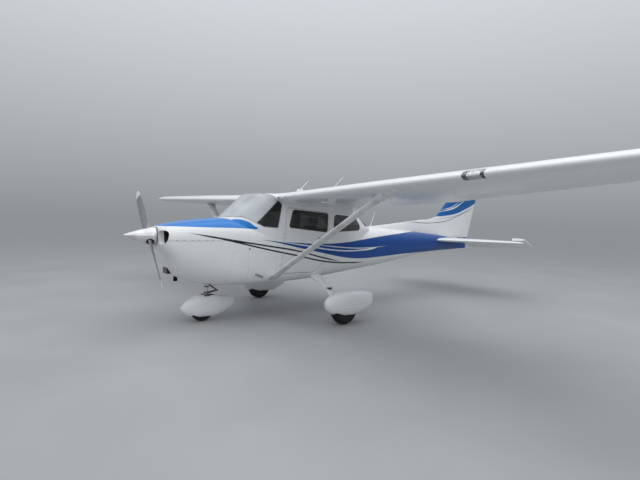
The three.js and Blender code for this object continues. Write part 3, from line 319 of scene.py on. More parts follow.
SIDES_OF_SKIN = [bpy.data.materials.new(f"work_{side}") for side in ("outer", "inner")]


def boolean(base, tool, operation):
    """New mesh: base with the closed mesh tool cut from it, joined to it or shared with it."""
    objects = []
    for bm in (base, tool):
        mesh = bpy.data.meshes.new("work")
        for slot_material in SIDES_OF_SKIN:
            mesh.materials.append(slot_material)
        bm.to_mesh(mesh)
        objects.append(linked("work", mesh))
    cut = objects[0].modifiers.new("cut", "BOOLEAN")
    cut.operation = operation
    cut.solver = "MANIFOLD"
    cut.object = objects[1]
    result = bmesh.new()
    result.from_object(objects[0], bpy.context.evaluated_depsgraph_get())
    for obj in objects:
        bpy.data.meshes.remove(obj.data)
    return result


def lining(bm):
    """The same mesh, marked so that the faces it leaves in a cut take the piece's inner material."""
    for face in bm.faces:
        face.material_index = 1
    return bm


def cut(base, *tools):
    for tool in tools:
        base = boolean(base, tool, "DIFFERENCE")
    return base


def joined(base, *tools):
    for tool in tools:
        base = boolean(base, tool, "UNION")
    return base


def kept(base, *tools):
    for tool in tools:
        base = boolean(base, tool, "INTERSECT")
    return base


CREASE = math.radians(28)


def piece(name, bm, body, material, replaces=(), crease=CREASE, bevel=0, inner=None):
    """Finished mesh as an object that rides on a body; inner is the material of its lining."""
    bmesh.ops.remove_doubles(bm, verts=bm.verts, dist=2e-6)
    bmesh.ops.dissolve_degenerate(bm, edges=bm.edges, dist=2e-6)
    for face in bm.faces:
        face.smooth = True
        if not inner:
            face.material_index = 0
    for edge in bm.edges:
        if len(edge.link_faces) == 2:
            edge.smooth = edge.calc_face_angle(0) < crease
    mesh = bpy.data.meshes.new(name)
    bm.to_mesh(mesh)
    bm.free()
    obj = linked(name, mesh)
    mesh.materials.append(material)
    if inner:
        mesh.materials.append(inner)
    if bevel:
        edge = obj.modifiers.new("edges", "BEVEL")
        edge.width = bevel * MM
        edge.segments = 3
        edge.limit_method = "ANGLE"
        edge.angle_limit = math.radians(50)
    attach(obj, body)
    if replaces:
        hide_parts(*replaces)
    return obj


# Sections: y, half width, bottom, top, waist, bottom power, top power
FUSELAGE = [
    (-3725, 270, 1090, 1392, 1245, 2.2, 2.2),
    (-3695, 322, 1010, 1412, 1232, 2.3, 2.3),
    (-3625, 374, 905, 1436, 1215, 2.4, 2.5),
    (-3490, 424, 712, 1464, 1200, 2.4, 2.7),
    (-3300, 460, 624, 1494, 1190, 2.6, 2.8),
    (-3050, 487, 558, 1522, 1175, 3.0, 2.9),
    (-2800, 508, 541, 1540, 1150, 4.2, 3.0),
    (-2400, 524, 540, 1490, 1130, 5.5, 3.2),
    (-1900, 530, 545, 1450, 1100, 6.0, 3.2),
    (-1400, 530, 568, 1440, 1100, 6.0, 3.0),
    (-1000, 525, 596, 1440, 1100, 5.0, 2.8),
    (-400, 473, 638, 1445, 1110, 3.8, 2.6),
    (300, 393, 690, 1440, 1120, 3.0, 2.5),
    (950, 318, 766, 1402, 1125, 2.8, 2.4),
    (1850, 215, 885, 1338, 1130, 2.6, 2.3),
    (2450, 147, 925, 1292, 1125, 2.5, 2.2),
    (3000, 84, 948, 1248, 1110, 2.4, 2.2),
    (3330, 46, 960, 1225, 1100, 2.3, 2.1),
]
BODY_POINTS, BODY_STEP = 96, 40
GAP = 0.3
CLEAR = 6
PANE = 6
COWL_WALL = 6
CABIN_WALL = 30
COWL_SEAM = 1211
CABIN_END = 270
FIREWALL_Y, FIREWALL_Z, FIREWALL_SLOPE = -2848, 656, 0.2242


def fuselage(grow=0, low=-3725, high=3330):
    """The closed body skin, grown outwards, between two places along Y."""
    rings = []
    for place in places(FUSELAGE, BODY_STEP):
        if low - BODY_STEP < place < high + BODY_STEP:
            row = eased(FUSELAGE, place)
            row[0] = min(max(place, low - grow), high + grow)
            rings.append(body_ring(row, grow, BODY_POINTS))
    rings[0] = [Vector((p.x, low - grow, p.z)) for p in rings[0]]
    rings[-1] = [Vector((p.x, high + grow, p.z)) for p in rings[-1]]
    return loft(rings)


def side_x(y, z):
    """Half width of the body at one height."""
    _, half, bottom, top, waist, low_power, top_power = eased(FUSELAGE, y)
    up = z >= waist
    height = top - waist if up else waist - bottom
    power = top_power if up else low_power
    return half * max(0, 1 - abs((z - waist) / height) ** power) ** (1 / power)


def nose_y(x, z):
    """Where the nose skin is met going aft at one x and z."""
    low, high = -3725, -3200
    if abs(x) <= side_x(low, z):
        return low
    for _ in range(24):
        middle = (low + high) / 2
        low, high = (low, middle) if abs(x) <= side_x(middle, z) else (middle, high)
    return high


# Cabin top by level: z, half width, front centre, front corner, rear corner, rear centre
CABIN_LEVELS = [
    (1150, 528, -2600, -2060, -900, 150),
    (1400, 522, -2925, -2050, -900, 235),
    (1545, 516, -2770, -2025, -800, 20),
    (1760, 508, -2520, -1990, -600, -330),
    (1880, 500, -2378, -1975, -700, -470),
    (1925, 470, -2318, -1970, -800, -600),
]
FRONT_POWER, REAR_POWER = 2.3, 2.2
CEILING = 1880


def cabin_top(inward=0, ceiling=1925):
    rings = []
    for level in places([row for row in CABIN_LEVELS if row[0] <= ceiling], 25):
        z, half, front, front_corner, rear_corner, rear = straight(CABIN_LEVELS, level)
        half -= inward
        forward = front_corner - front - inward * 1.3
        aft = rear - rear_corner - inward * 1.3
        ring = []
        for i in range(DENSE // 2 + 1):
            angle = 2 * math.pi * i / DENSE
            ring.append((half * squircle(math.cos(angle), FRONT_POWER),
                         front_corner - forward * squircle(math.sin(angle), FRONT_POWER), z))
        for i in range(DENSE // 2 + 1):
            angle = 2 * math.pi * i / DENSE
            ring.append((-half * squircle(math.cos(angle), REAR_POWER),
                         rear_corner + aft * squircle(math.sin(angle), REAR_POWER), z))
        rings.append(even(ring, 160))
    return loft(rings)


# Wing stations: x, leading edge y, chord, incidence in degrees, share of full thickness
CENTRE_HALF_WIDTH = 555
DIHEDRAL = math.radians(1.8)
WING_LEAD_Y, WING_LEAD_Z = -2115, 1862
WING = [
    (CENTRE_HALF_WIDTH, WING_LEAD_Y, 1626, 3.5, 1),
    (2540, WING_LEAD_Y, 1626, 3.5, 1),
    (5290, -2090, 1130, 1.8, 1),
    (5410, -2068, 1068, 1.7, 0.94),
    (5470, -2028, 942, 1.7, 0.74),
    (5497, -1940, 652, 1.7, 0.4),
]
THICKNESS = 0.12
CAMBER, CAMBER_PLACE = 0.02, 0.4


def half_thickness(c):
    return 5 * THICKNESS * (0.2969 * math.sqrt(c) - 0.126 * c - 0.3516 * c ** 2 + 0.2843 * c ** 3
                            - 0.1036 * c ** 4)


def camber_line(c):
    if c < CAMBER_PLACE:
        return CAMBER / CAMBER_PLACE ** 2 * (2 * CAMBER_PLACE * c - c * c)
    return CAMBER / (1 - CAMBER_PLACE) ** 2 * (1 - 2 * CAMBER_PLACE + 2 * CAMBER_PLACE * c - c * c)


def wing_station(x):
    return straight(WING, x)


def wing_point(row, c, side, grow=0):
    """Point of a wing section: side is 1 on top, -1 below and 0 on the camber line."""
    x, lead, chord, incidence, share = row
    up = chord * share * (camber_line(c) + side * half_thickness(c)) + side * grow
    pitch = math.radians(incidence)
    lead_z = WING_LEAD_Z + (x - CENTRE_HALF_WIDTH) * math.tan(DIHEDRAL)
    return Vector((x, lead + c * chord * math.cos(pitch) + up * math.sin(pitch),
                   lead_z - c * chord * math.sin(pitch) + up * math.cos(pitch)))


WING_STEPS = 34


def wing_ring(row, grow=0):
    return [wing_point(row, (i / WING_STEPS) ** 2, 1 if i <= 0 else -1, grow)
            for i in range(-WING_STEPS, WING_STEPS + 1)]


def wing_loft(stations, grow=0):
    return loft([wing_ring(wing_station(x), grow) for x in stations])


WING_STATIONS = spread(CENTRE_HALF_WIDTH + GAP, 2540, 160) + spread(2540, 5290, 160)[1:] + [
    5350, 5410, 5440, 5470, 5485, 5497]


BEAD_PITCH, BEAD_SHARE, WING_BEAD, TAIL_BEAD = 92, 0.32, 2.2, 1.6


def beads(place, height):
    """Height of pressed beads that repeat along a skin."""
    phase = abs((place / BEAD_PITCH) % 1 - 0.5) * 2
    return height * max(0, 1 - phase / BEAD_SHARE) ** 0.7


def trailing_surface(inner, outer, inner_chord, outer_chord):
    """Beaded surface at the trailing edge, with its round nose on the hinge line, and the room it needs."""
    start = wing_point(wing_station(inner), inner_chord, 0)
    end = wing_point(wing_station(outer), outer_chord, 0)
    rows = [wing_station(inner), wing_station(outer)]
    radii = [row[2] * half_thickness(c) * 0.985 for row, c in zip(rows, (inner_chord, outer_chord))]
    rings = []
    for x in spread(inner, outer, 7.6):
        share = (x - inner) / (outer - inner)
        row = wing_station(x)
        hinge = start.lerp(end, share)
        radius = radii[0] + (radii[1] - radii[0]) * share
        chord_at = inner_chord + (outer_chord - inner_chord) * share
        bead = beads(x, WING_BEAD)
        top, low = [], []
        for i in range(13):
            c = 1 - (1 - chord_at - 0.012) * i / 12
            fade = min(1, (1 - c) / 0.02, (c - chord_at) / 0.03)
            top.append(wing_point(row, c, 1, bead * fade))
            low.append(wing_point(row, c, -1, bead * fade))
        nose = [Vector((x, hinge.y - radius * math.sin(a), hinge.z + radius * math.cos(a)))
                for a in (math.pi * k / 14 for k in range(15))]
        rings.append(top + nose + list(reversed(low))[:-1])
    span = (end - start).normalized()
    corners = lambda extra: [(inner - extra, start.y), (outer + extra, end.y), (outer + extra, 200),
                             (inner - extra, 200)]
    room = [prism("z", corners(CLEAR), 1400, 2400),
            rod(start - span * CLEAR, end + span * CLEAR, radii[0] + CLEAR, radii[1] + CLEAR, 48)]
    return loft(rings), room, (start, end, radii[0])


# Windows and doors, as corners in side view: y, z
WINDSHIELD = [(-2056, 1396), (-2300, 1412), (-2388, 1456), (-2580, 1552), (-2980, 1554), (-2500, 2010),
              (-2252, 1934), (-2106, 1888), (-1985, 1765)]
REAR_WINDOW = [(-400, 1700), (-118, 1450), (60, 1462), (400, 1480), (300, 1800), (-480, 1760)]
DOOR = [(-1898, 1728), (-2008, 700), (-1350, 690), (-1135, 900), (-1062, 1664)]
DOOR_WINDOW = [(-1084, 1655), (-1106, 1339), (-1866, 1411), (-1790, 1697)]
SIDE_WINDOW = [(-954, 1642), (-977, 1348), (-345, 1378), (-312, 1458), (-467, 1613)]


def across(corners, trim, radius, low=-900, high=900):
    return prism("x", inset(corners, trim) if trim else corners, low, high, radius)


def ahead_of_firewall(shift):
    y = lambda z: FIREWALL_Y + (z - FIREWALL_Z) * FIREWALL_SLOPE + shift
    return prism("x", [(-4400, 300), (y(300), 300), (y(1800), 1800), (-4400, 1800)], -900, 900)


# Finishes
class Finish:
    """Node tree of one finish, with short ways to add to it."""

    def __init__(self, name, **values):
        self.material = bpy.data.materials.new(name)
        self.material.use_nodes = True
        self.tree = self.material.node_tree
        self.shader = self.tree.nodes["Principled BSDF"]
        self.at = self.node("ShaderNodeTexCoord").outputs["Object"]
        split = self.node("ShaderNodeSeparateXYZ")
        self.feed(split.inputs[0], self.at)
        self.x, self.y, self.z = split.outputs
        for label, value in values.items():
            self.give(label, value)

    def node(self, kind, **settings):
        node = self.tree.nodes.new(kind)
        for key, value in settings.items():
            setattr(node, key, value)
        return node

    def feed(self, socket, value):
        if isinstance(value, bpy.types.NodeSocket):
            self.tree.links.new(value, socket)
        else:
            socket.default_value = value

    def give(self, label, value):
        self.feed(self.shader.inputs[label.replace("_", " ")], value)

    def maths(self, operation, *values):
        node = self.node("ShaderNodeMath", operation=operation)
        for value, socket in zip(values, node.inputs):
            self.feed(socket, value)
        return node.outputs[0]

    def add(self, a, b):
        return self.maths("ADD", a, b)

    def less(self, a, b):
        return self.maths("SUBTRACT", a, b)

    def times(self, first, *others):
        for other in others:
            first = self.maths("MULTIPLY", first, other)
        return first

    def size(self, a):
        return self.maths("ABSOLUTE", a)

    def over(self, value, limit):
        return self.maths("GREATER_THAN", value, limit)

    def under(self, value, limit):
        return self.maths("LESS_THAN", value, limit)

    def most(self, first, *others):
        for other in others:
            first = self.maths("MAXIMUM", first, other)
        return first

    def span(self, value, start, end, low=0.0, high=1.0):
        """Value led from one range to another and held at its ends."""
        node = self.node("ShaderNodeMapRange")
        for socket, number in zip(node.inputs, (value, start, end, low, high)):
            self.feed(socket, number)
        return node.outputs[0]

    def stretched(self, scale):
        node = self.node("ShaderNodeMapping")
        self.feed(node.inputs["Vector"], self.at)
        node.inputs["Scale"].default_value = scale
        return node.outputs[0]

    def noise(self, scale, detail=3, stretch=None):
        node = self.node("ShaderNodeTexNoise")
        self.feed(node.inputs["Vector"], self.stretched(stretch) if stretch else self.at)
        node.inputs["Scale"].default_value = scale
        node.inputs["Detail"].default_value = detail
        return node.outputs[0]

    def mix(self, share, a, b):
        node = self.node("ShaderNodeMix", data_type="RGBA")
        self.feed(node.inputs[0], share)
        self.feed(node.inputs[6], a)
        self.feed(node.inputs[7], b)
        return node.outputs[2]

    def relief(self, height, distance, strength=1.0):
        """Bump of a given depth in millimetres, on top of the ones before it."""
        node = self.node("ShaderNodeBump")
        self.feed(node.inputs["Height"], height)
        node.inputs["Distance"].default_value = distance * MM
        node.inputs["Strength"].default_value = strength
        normal = self.shader.inputs["Normal"]
        if normal.links:
            self.feed(node.inputs["Normal"], normal.links[0].from_socket)
        self.feed(normal, node.outputs[0])

    def curve(self, value, spots):
        """Value led through spots, which lie from 0 to 1 both ways."""
        node = self.node("ShaderNodeFloatCurve")
        points = node.mapping.curves[0].points
        points[0].location = spots[0]
        points[1].location = spots[-1]
        for spot in spots[1:-1]:
            points.new(*spot)
        node.mapping.update()
        self.feed(node.inputs["Value"], value)
        return node.outputs[0]

    def line(self, points):
        """Height of a painted line at this place along the aircraft, from points of y and z in metres."""
        spots = [((y - PAINT_BACK) / PAINT_LENGTH, (z - PAINT_LOW) / PAINT_HEIGHT) for y, z in points]
        up = self.curve(self.span(self.y, PAINT_BACK, PAINT_BACK + PAINT_LENGTH), spots)
        return self.add(self.times(up, PAINT_HEIGHT), PAINT_LOW)

    def between(self, low, high, start, end):
        """Paint between two lines, from one place along the aircraft to another."""
        inside = self.times(self.over(self.z, self.line(low)), self.under(self.z, self.line(high)))
        return self.times(inside, self.over(self.y, start), self.under(self.y, end))

    def pinstripe(self, points, half, taper=0.3):
        """Thin painted line with pointed ends."""
        start, end = points[0][0], points[-1][0]
        ends = self.times(self.span(self.y, start, start + taper), self.span(self.y, end, end - taper))
        return self.under(self.size(self.less(self.z, self.line(points))), self.times(ends, half))

    def groove(self, value, place, half):
        """One where a panel joint runs, at one value of a coordinate."""
        return self.under(self.size(self.less(value, place)), half)

    def rivets(self, place, along, pitch, radius):
        """Round heads along the line where place is zero."""
        return self.span(self.far(place, self.nearest(along, pitch)), radius, radius * 0.45)

    def nearest(self, value, pitch, first=0.0):
        """Distance to the nearest of evenly spaced places."""
        return self.maths("PINGPONG", self.less(value, first), pitch / 2)

    def far(self, a, b):
        return self.maths("SQRT", self.add(self.times(a, a), self.times(b, b)))


PAINT_BACK, PAINT_LENGTH = -4.0, 8.4
PAINT_LOW, PAINT_HEIGHT = 0.5, 2.0
WHITE = (0.80, 0.81, 0.82, 1)
# Colour of road dirt and painted shade on the lower parts.
SOILED_AND_SHADED = (0.60, 0.59, 0.56, 1)
BLUE = (0.0, 0.062, 0.29, 1)
TOP_BLUE = (0.0, 0.18, 0.57, 1)
FIN_BLUE = (0.0, 0.11, 0.36, 1)
STRIPE_DARK = (0.012, 0.014, 0.022, 1)
JOINT_DARK = (0.10, 0.10, 0.10, 1)


def enamel(name, roughness=0.2):
    """Gloss white enamel: faint waviness, orange peel, and patches of road dirt with painted shade, stronger
    low down.
    """
    finish = Finish(name, Coat_Weight=0.1, Coat_Roughness=0.06, Specular_IOR_Level=0.35)
    film = finish.noise(1.7, 6, stretch=(1, 0.5, 1.6))
    fine = finish.noise(38, 3)
    worn = finish.times(finish.span(film, 0.46, 0.78), finish.span(fine, 0.3, 0.75, 0.3, 1))
    # Patchy darkening, stronger lower down: partly road dirt, partly painted shade for the darker lower body.
    finish.film = finish.times(worn, finish.span(finish.z, 1.4, 0.3, 0.1, 0.5))
    finish.give("Roughness", finish.span(film, 0.3, 0.8, roughness, roughness + 0.14))
    finish.relief(finish.noise(5, 1), 1.2, 0.25)
    finish.relief(finish.noise(900, 1), 0.06, 0.35)
    return finish


def painted(finish, colour, *layers):
    """Base colour: enamel darkened by its patches of dirt and painted shade, then each layer's share and
    colour.
    """
    # Mix in the dirt with painted shade, heavier low down.
    colour = finish.mix(finish.film, colour, SOILED_AND_SHADED)
    for share, layer in layers:
        colour = finish.mix(share, colour, layer)
    finish.give("Base_Color", colour)
    return finish.material


# Painted lines on the body, y and z
TOP_EDGE = [(-3.9, 1.402), (-3.63, 1.403), (-3.08, 1.397), (-2.59, 1.389), (-2.33, 1.373), (-2.0, 1.34)]
TOP_AFT = [(0.0, -2.842), (0.10, -2.832), (0.167, -2.81), (0.224, -2.766), (0.334, -2.655), (0.373, -2.611),
           (0.416, -2.556), (0.452, -2.496), (0.476, -2.451), (0.495, -2.389), (0.507, -2.33), (0.53, -2.20)]
UPPER_PINSTRIPE = [(-3.42, 1.322), (-3.06, 1.26), (-2.70, 1.203), (-2.236, 1.132), (-1.717, 1.050),
                   (-1.208, 0.929), (-0.765, 0.842)]
LOWER_PINSTRIPE = [(-3.18, 1.277), (-2.969, 1.240), (-2.692, 1.181), (-2.398, 1.114), (-2.096, 1.050),
                   (-1.765, 0.985), (-1.063, 0.850), (-0.538, 0.812), (-0.116, 0.804)]
BAND_LOW = [(-2.339, 1.223), (-2.116, 1.189), (-1.845, 1.132), (-1.656, 1.092), (-1.459, 1.054),
            (-1.337, 1.030), (-1.039, 0.971), (-0.681, 0.910), (-0.34, 0.879), (0.302, 0.885),
            (0.948, 0.911), (1.697, 0.926), (2.522, 0.940), (3.4, 0.95)]
BAND_MIDDLE = [(-2.339, 1.223), (-2.116, 1.203), (-1.845, 1.164), (-1.656, 1.134), (-1.48, 1.112),
               (-1.338, 1.085), (-1.042, 1.044), (-0.687, 1.015), (-0.356, 1.014), (0.12, 1.046),
               (0.45, 1.25), (3.4, 1.3)]
WING_LOW_LINE = [(-1.95, 1.192), (-1.657, 1.152), (-1.48, 1.132), (-1.338, 1.105), (-1.042, 1.064),
                 (-0.687, 1.035), (-0.356, 1.034), (0.12, 1.062), (0.45, 1.07), (3.4, 1.1)]
BAND_TOP = [(-1.95, 1.192), (-1.657, 1.172), (-1.461, 1.160), (-1.34, 1.155), (-1.047, 1.155),
            (-0.713, 1.171), (-0.302, 1.207), (0.284, 1.266), (0.972, 1.318), (1.821, 1.335),
            (2.524, 1.318), (3.109, 1.249), (3.4, 1.2)]
BAND_LIGHT = [(-1.5, 1.152), (-1.215, 1.128), (-0.811, 1.090), (-0.437, 1.066), (-0.025, 1.064), (0.5, 1.09)]
FIN_EDGE = [(2.30, 1.69), (2.44, 1.70), (2.685, 1.723), (3.062, 1.776), (3.484, 1.897), (3.875, 2.035),
            (4.15, 2.15)]
FIN_LIGHTS = [[(2.45, 1.79), (2.575, 1.818), (2.796, 1.86), (3.017, 1.914), (3.296, 2.032), (3.6, 2.2)],
              [(2.56, 1.85), (2.655, 1.87), (2.833, 1.902), (3.017, 1.965), (3.3, 2.11)]]
FIN_PINSTRIPE = [(1.3, 1.545), (1.545, 1.559), (1.854, 1.547), (2.189, 1.549), (2.651, 1.592), (3.19, 1.733),
                 (3.623, 1.864), (3.98, 2.0)]
FIN_SECOND = [(2.35, 1.65), (2.719, 1.674), (3.049, 1.72), (3.40, 1.82), (3.85, 1.985)]


def body_layers(finish):
    """The blue top of the cowling, the band along the side and the pinstripes ahead of it."""
    aft = finish.curve(finish.span(finish.size(finish.x), 0, 0.6), [(x / 0.6, y + 3) for x, y in TOP_AFT])
    ahead = finish.under(finish.y, finish.less(aft, 3))
    top = finish.times(finish.over(finish.z, finish.line(TOP_EDGE)), ahead, finish.under(finish.z, 1.62))
    main = finish.between(BAND_LOW, BAND_MIDDLE, BAND_LOW[0][0], 3.4)
    upper = finish.between(WING_LOW_LINE, BAND_TOP, BAND_TOP[0][0], 3.4)
    blue = finish.most(main, upper)
    lines = finish.most(finish.pinstripe(UPPER_PINSTRIPE, 0.012), finish.pinstripe(LOWER_PINSTRIPE, 0.012))
    light = finish.pinstripe(BAND_LIGHT, 0.007, 0.5)
    return (lines, STRIPE_DARK), (blue, BLUE), (top, TOP_BLUE), (light, WHITE)


def cowl_finish():
    finish = enamel("cowl_enamel", 0.14)
    seam = finish.groove(finish.z, COWL_SEAM * MM, 0.0016)
    finish.relief(finish.less(1, seam), 1.5)
    return painted(finish, WHITE, *body_layers(finish), (seam, JOINT_DARK))


def hull_finish():
    """Sheet aluminium body: lapped joints at the frames and rows of flush rivets."""
    finish = enamel("hull_enamel", 0.2)
    frames = finish.nearest(finish.y, 0.47, 0.27)
    heads = finish.rivets(finish.less(frames, 0.012), finish.z, 0.032, 0.0034)
    stringers = finish.nearest(finish.z, 0.235, 0.62)
    rows = finish.rivets(stringers, finish.y, 0.032, 0.0034)
    sides = finish.over(finish.size(finish.x), 0.04)
    heads = finish.times(finish.most(heads, rows), sides)
    lap = finish.times(finish.groove(frames, 0, 0.0011), sides)
    finish.relief(heads, 0.5, 0.8)
    finish.relief(finish.less(1, lap), 0.8)
    shade = finish.times(lap, 0.45)
    dots = finish.times(finish.span(heads, 0.05, 0.5), finish.span(heads, 1, 0.5), 0.3)
    return painted(finish, WHITE, *body_layers(finish), (finish.most(shade, dots), JOINT_DARK))


def fin_finish():
    finish = enamel("fin_enamel", 0.2)
    high = finish.over(finish.z, finish.line(FIN_EDGE))
    lights = finish.most(*[finish.pinstripe(line, 0.017, 0.5) for line in FIN_LIGHTS])
    dark = finish.pinstripe(FIN_PINSTRIPE, 0.006, 0.4)
    second = finish.pinstripe(FIN_SECOND, 0.005, 0.4)
    ribs = finish.nearest(finish.z, 0.31, 1.48)
    heads = finish.times(finish.rivets(ribs, finish.y, 0.03, 0.0032), finish.over(finish.y, 2.5))
    finish.relief(heads, 0.5, 0.8)
    foot = finish.times(finish.under(finish.z, 1.226), finish.over(finish.y, 3.2))
    return painted(finish, WHITE, (foot, BLUE), (high, FIN_BLUE), (lights, WHITE), (dark, STRIPE_DARK),
                   (second, (0.16, 0.22, 0.34, 1)), (finish.times(heads, 0.12), JOINT_DARK))


def wing_finish():
    """Riveted wing skin: a rivet row on each rib, on the spars, and a lapped leading-edge sheet."""
    finish = enamel("wing_enamel", 0.2)
    far = finish.size(finish.x)
    ribs = finish.rivets(finish.nearest(far, 0.39, 0.56), finish.y, 0.028, 0.0034)
    taper = finish.times(finish.span(far, 2.54, 5.29), 0.13)
    spars = [finish.rivets(finish.less(finish.y, finish.add(place, finish.times(taper, share))), far, 0.028,
                           0.0034) for place, share in ((-1.72, -0.2), (-0.98, -1.4))]
    heads = finish.times(finish.most(ribs, *spars), finish.over(finish.y, -1.98))
    lap = finish.groove(finish.nearest(far, 1.17, 0.555), 0, 0.0012)
    sheet = finish.groove(finish.y, finish.less(-1.70, finish.times(taper, 0.2)), 0.0012)
    joint = finish.most(lap, sheet)
    finish.relief(heads, 0.5, 0.8)
    finish.relief(finish.less(1, joint), 0.8)
    marks = finish.most(finish.times(heads, 0.14), finish.times(joint, 0.5))
    return painted(finish, WHITE, (marks, JOINT_DARK))


def plain_finish(name, roughness, joints=()):
    """Moulded white pieces, with the halves' joint where one is given on an axis."""
    finish = enamel(name, roughness)
    layers = []
    for axis, place in joints:
        seam = finish.groove(getattr(finish, axis), place, 0.0011)
        finish.relief(finish.less(1, seam), 0.8)
        layers.append((finish.times(seam, 0.5), JOINT_DARK))
    return painted(finish, WHITE, *layers)


def metal_finish(name, colour, roughness, grain=(1, 1, 1), scale=60, metallic=1.0, depth=0.08):
    """Bare or thinly painted metal, with a grain along one direction and uneven gloss."""
    finish = Finish(name, Metallic=metallic)
    grain_noise = finish.noise(scale, 4, stretch=grain)
    cloud = finish.noise(6, 4)
    dark = tuple(c * 0.72 for c in colour[:3]) + (1,)
    finish.give("Base_Color", finish.mix(finish.span(cloud, 0.35, 0.7), colour, dark))
    finish.give("Roughness", finish.span(grain_noise, 0.3, 0.7, roughness * 0.8, roughness * 1.35))
    finish.relief(grain_noise, depth, 0.6)
    return finish.material


def rubber_finish(name, colour=(0.011, 0.011, 0.012, 1), roughness=0.62):
    """Tyre rubber with a dusty bloom and a fine moulded texture."""
    finish = Finish(name, Specular_IOR_Level=0.35)
    bloom = finish.noise(9, 6)
    finish.give("Base_Color", finish.mix(finish.span(bloom, 0.4, 0.8), colour, (0.018, 0.0175, 0.017, 1)))
    finish.give("Roughness", finish.span(bloom, 0.3, 0.8, roughness - 0.12, roughness + 0.12))
    finish.relief(finish.noise(420, 2), 0.25, 0.6)
    return finish.material


def glazing_finish(name, tint, alpha, painted_glare=0):
    """Moulded acrylic pane: faint smoke and rain spots, and where a strength is given, a pale painted
    reflection over the windscreen's front.
    """
    finish = Finish(name, Transmission_Weight=0.85, IOR=1.45, Alpha=alpha)
    haze = finish.noise(7, 5)
    clear = finish.mix(finish.span(haze, 0.5, 0.85, 0, 0.12), tint, (0.5, 0.52, 0.53, 1))
    if painted_glare:
        # Painted reflection: a pale, cloudy colour over the pane's front, which is made nearly opaque there.
        front = finish.times(finish.span(finish.less(finish.z, finish.y), 3.860, 3.892), painted_glare)
        painted_sky = finish.mix(finish.span(finish.noise(2.2, 2), 0.35, 0.75), (0.74, 0.77, 0.80, 1),
                         (0.50, 0.53, 0.55, 1))
        clear = finish.mix(front, clear, painted_sky)
        finish.give("Transmission_Weight", finish.span(front, 0, 1, 0.85, 0.1))
        finish.give("Alpha", finish.span(front, 0, 1, alpha, 0.96))
    finish.give("Base_Color", clear)
    finish.give("Roughness", finish.span(haze, 0.35, 0.8, 0.01, 0.05))
    finish.relief(finish.noise(3, 1), 1.0, 0.2)
    return finish.material


def moulded_finish(name, colour, roughness=0.55, grain=260, depth=0.15):
    """Pressed or moulded plastic and trim with a leathery grain."""
    finish = Finish(name)
    cloud = finish.noise(5, 4)
    light = tuple(min(1, c * 1.25 + 0.01) for c in colour[:3]) + (1,)
    finish.give("Base_Color", finish.mix(finish.span(cloud, 0.35, 0.75), colour, light))
    finish.give("Roughness", finish.span(cloud, 0.3, 0.8, roughness - 0.08, roughness + 0.1))
    finish.relief(finish.noise(grain, 3), depth, 0.7)
    return finish.material


def woven_finish(name, colour, shade, pitch=0.0032):
    """Woven seat cloth: crossed threads, worn lighter on its crowns, with sheen."""
    finish = Finish(name, Sheen_Weight=0.35, Sheen_Roughness=0.5, Roughness=0.9)
    tall = finish.add(finish.z, finish.times(finish.y, 0.6))
    threads = []
    for value, other in ((finish.x, tall), (tall, finish.x)):
        wave = finish.maths("SINE", finish.times(value, 2 * math.pi / pitch))
        offset = finish.maths("SINE", finish.times(other, math.pi / pitch))
        threads.append(finish.times(wave, finish.span(offset, -0.4, 0.4)))
    weave = finish.most(*threads)
    mottle = finish.noise(60, 5)
    base = finish.mix(finish.span(mottle, 0.3, 0.7), colour, shade)
    finish.give("Base_Color", finish.mix(finish.span(weave, -0.2, 1, 0.25, 0), base, shade))
    finish.relief(weave, 0.5, 0.5)
    finish.relief(finish.noise(24, 4), 1.5, 0.35)
    return finish.material


def duct_finish():
    """Inside of the cowling: painted light on the inboard wall of an inlet, a white brighter than the enamel,
    and near-black painted shade further in.
    """
    finish = Finish("inlet_duct")
    blotches = finish.noise(25, 4)
    # Painted light: the inlets' inboard walls, whiter than the enamel.
    inboard = finish.times(finish.under(finish.size(finish.x), 0.235), finish.over(finish.z, 1.1),
                           finish.under(finish.add(finish.y, finish.times(finish.z, 0.08)), -3.556))
    # Painted shade: near-black with faint blotches over the rest of the cowling's inside.
    dark = finish.mix(finish.span(blotches, 0.3, 0.7), (0.012, 0.012, 0.012, 1), (0.035, 0.034, 0.033, 1))
    finish.give("Base_Color", finish.mix(inboard, dark, (0.90, 0.91, 0.91, 1)))
    finish.give("Roughness", finish.span(blotches, 0.3, 0.7, 0.4, 0.65))
    finish.relief(blotches, 0.4, 0.5)
    return finish.material


COWL = cowl_finish()
HULL = hull_finish()
FIN_SKIN = fin_finish()
WING_SKIN = wing_finish()
FAIRING = plain_finish("fairing_enamel", 0.16, [("z", 0.302)])
NOSE_BOOT = plain_finish("nose_fairing_enamel", 0.16, [("x", 0.0), ("y", -2.76)])
PLAIN_WHITE = plain_finish("small_part_enamel", 0.22)
SPINNER_WHITE = metal_finish("spinner_silver", (0.74, 0.74, 0.75, 1), 0.16, (1, 1, 1), 30, 0.5, 0.02)
STRUT_PAINT = metal_finish("strut_silver", (0.86, 0.87, 0.88, 1), 0.34, (1, 9, 9), 14, 0.2)
CAST = metal_finish("wheel_casting", (0.55, 0.56, 0.57, 1), 0.42, scale=90)
CHROME = metal_finish("piston_chrome", (0.78, 0.79, 0.80, 1), 0.09, (1, 1, 20), 20, depth=0.02)
STEEL = metal_finish("fastener_steel", (0.34, 0.34, 0.34, 1), 0.35, scale=200)
FORGED = metal_finish("forged_fork", (0.20, 0.185, 0.17, 1), 0.42, scale=120, metallic=0.8)
ENGINE_IRON = metal_finish("engine_castings", (0.10, 0.10, 0.105, 1), 0.55, scale=150, metallic=0.6,
                           depth=0.3)
TYRE = rubber_finish("tyre_rubber")
BAFFLE = rubber_finish("baffle_rubber", (0.014, 0.014, 0.015, 1), 0.6)
SEAL = rubber_finish("window_seal", (0.05, 0.05, 0.052, 1), 0.5)
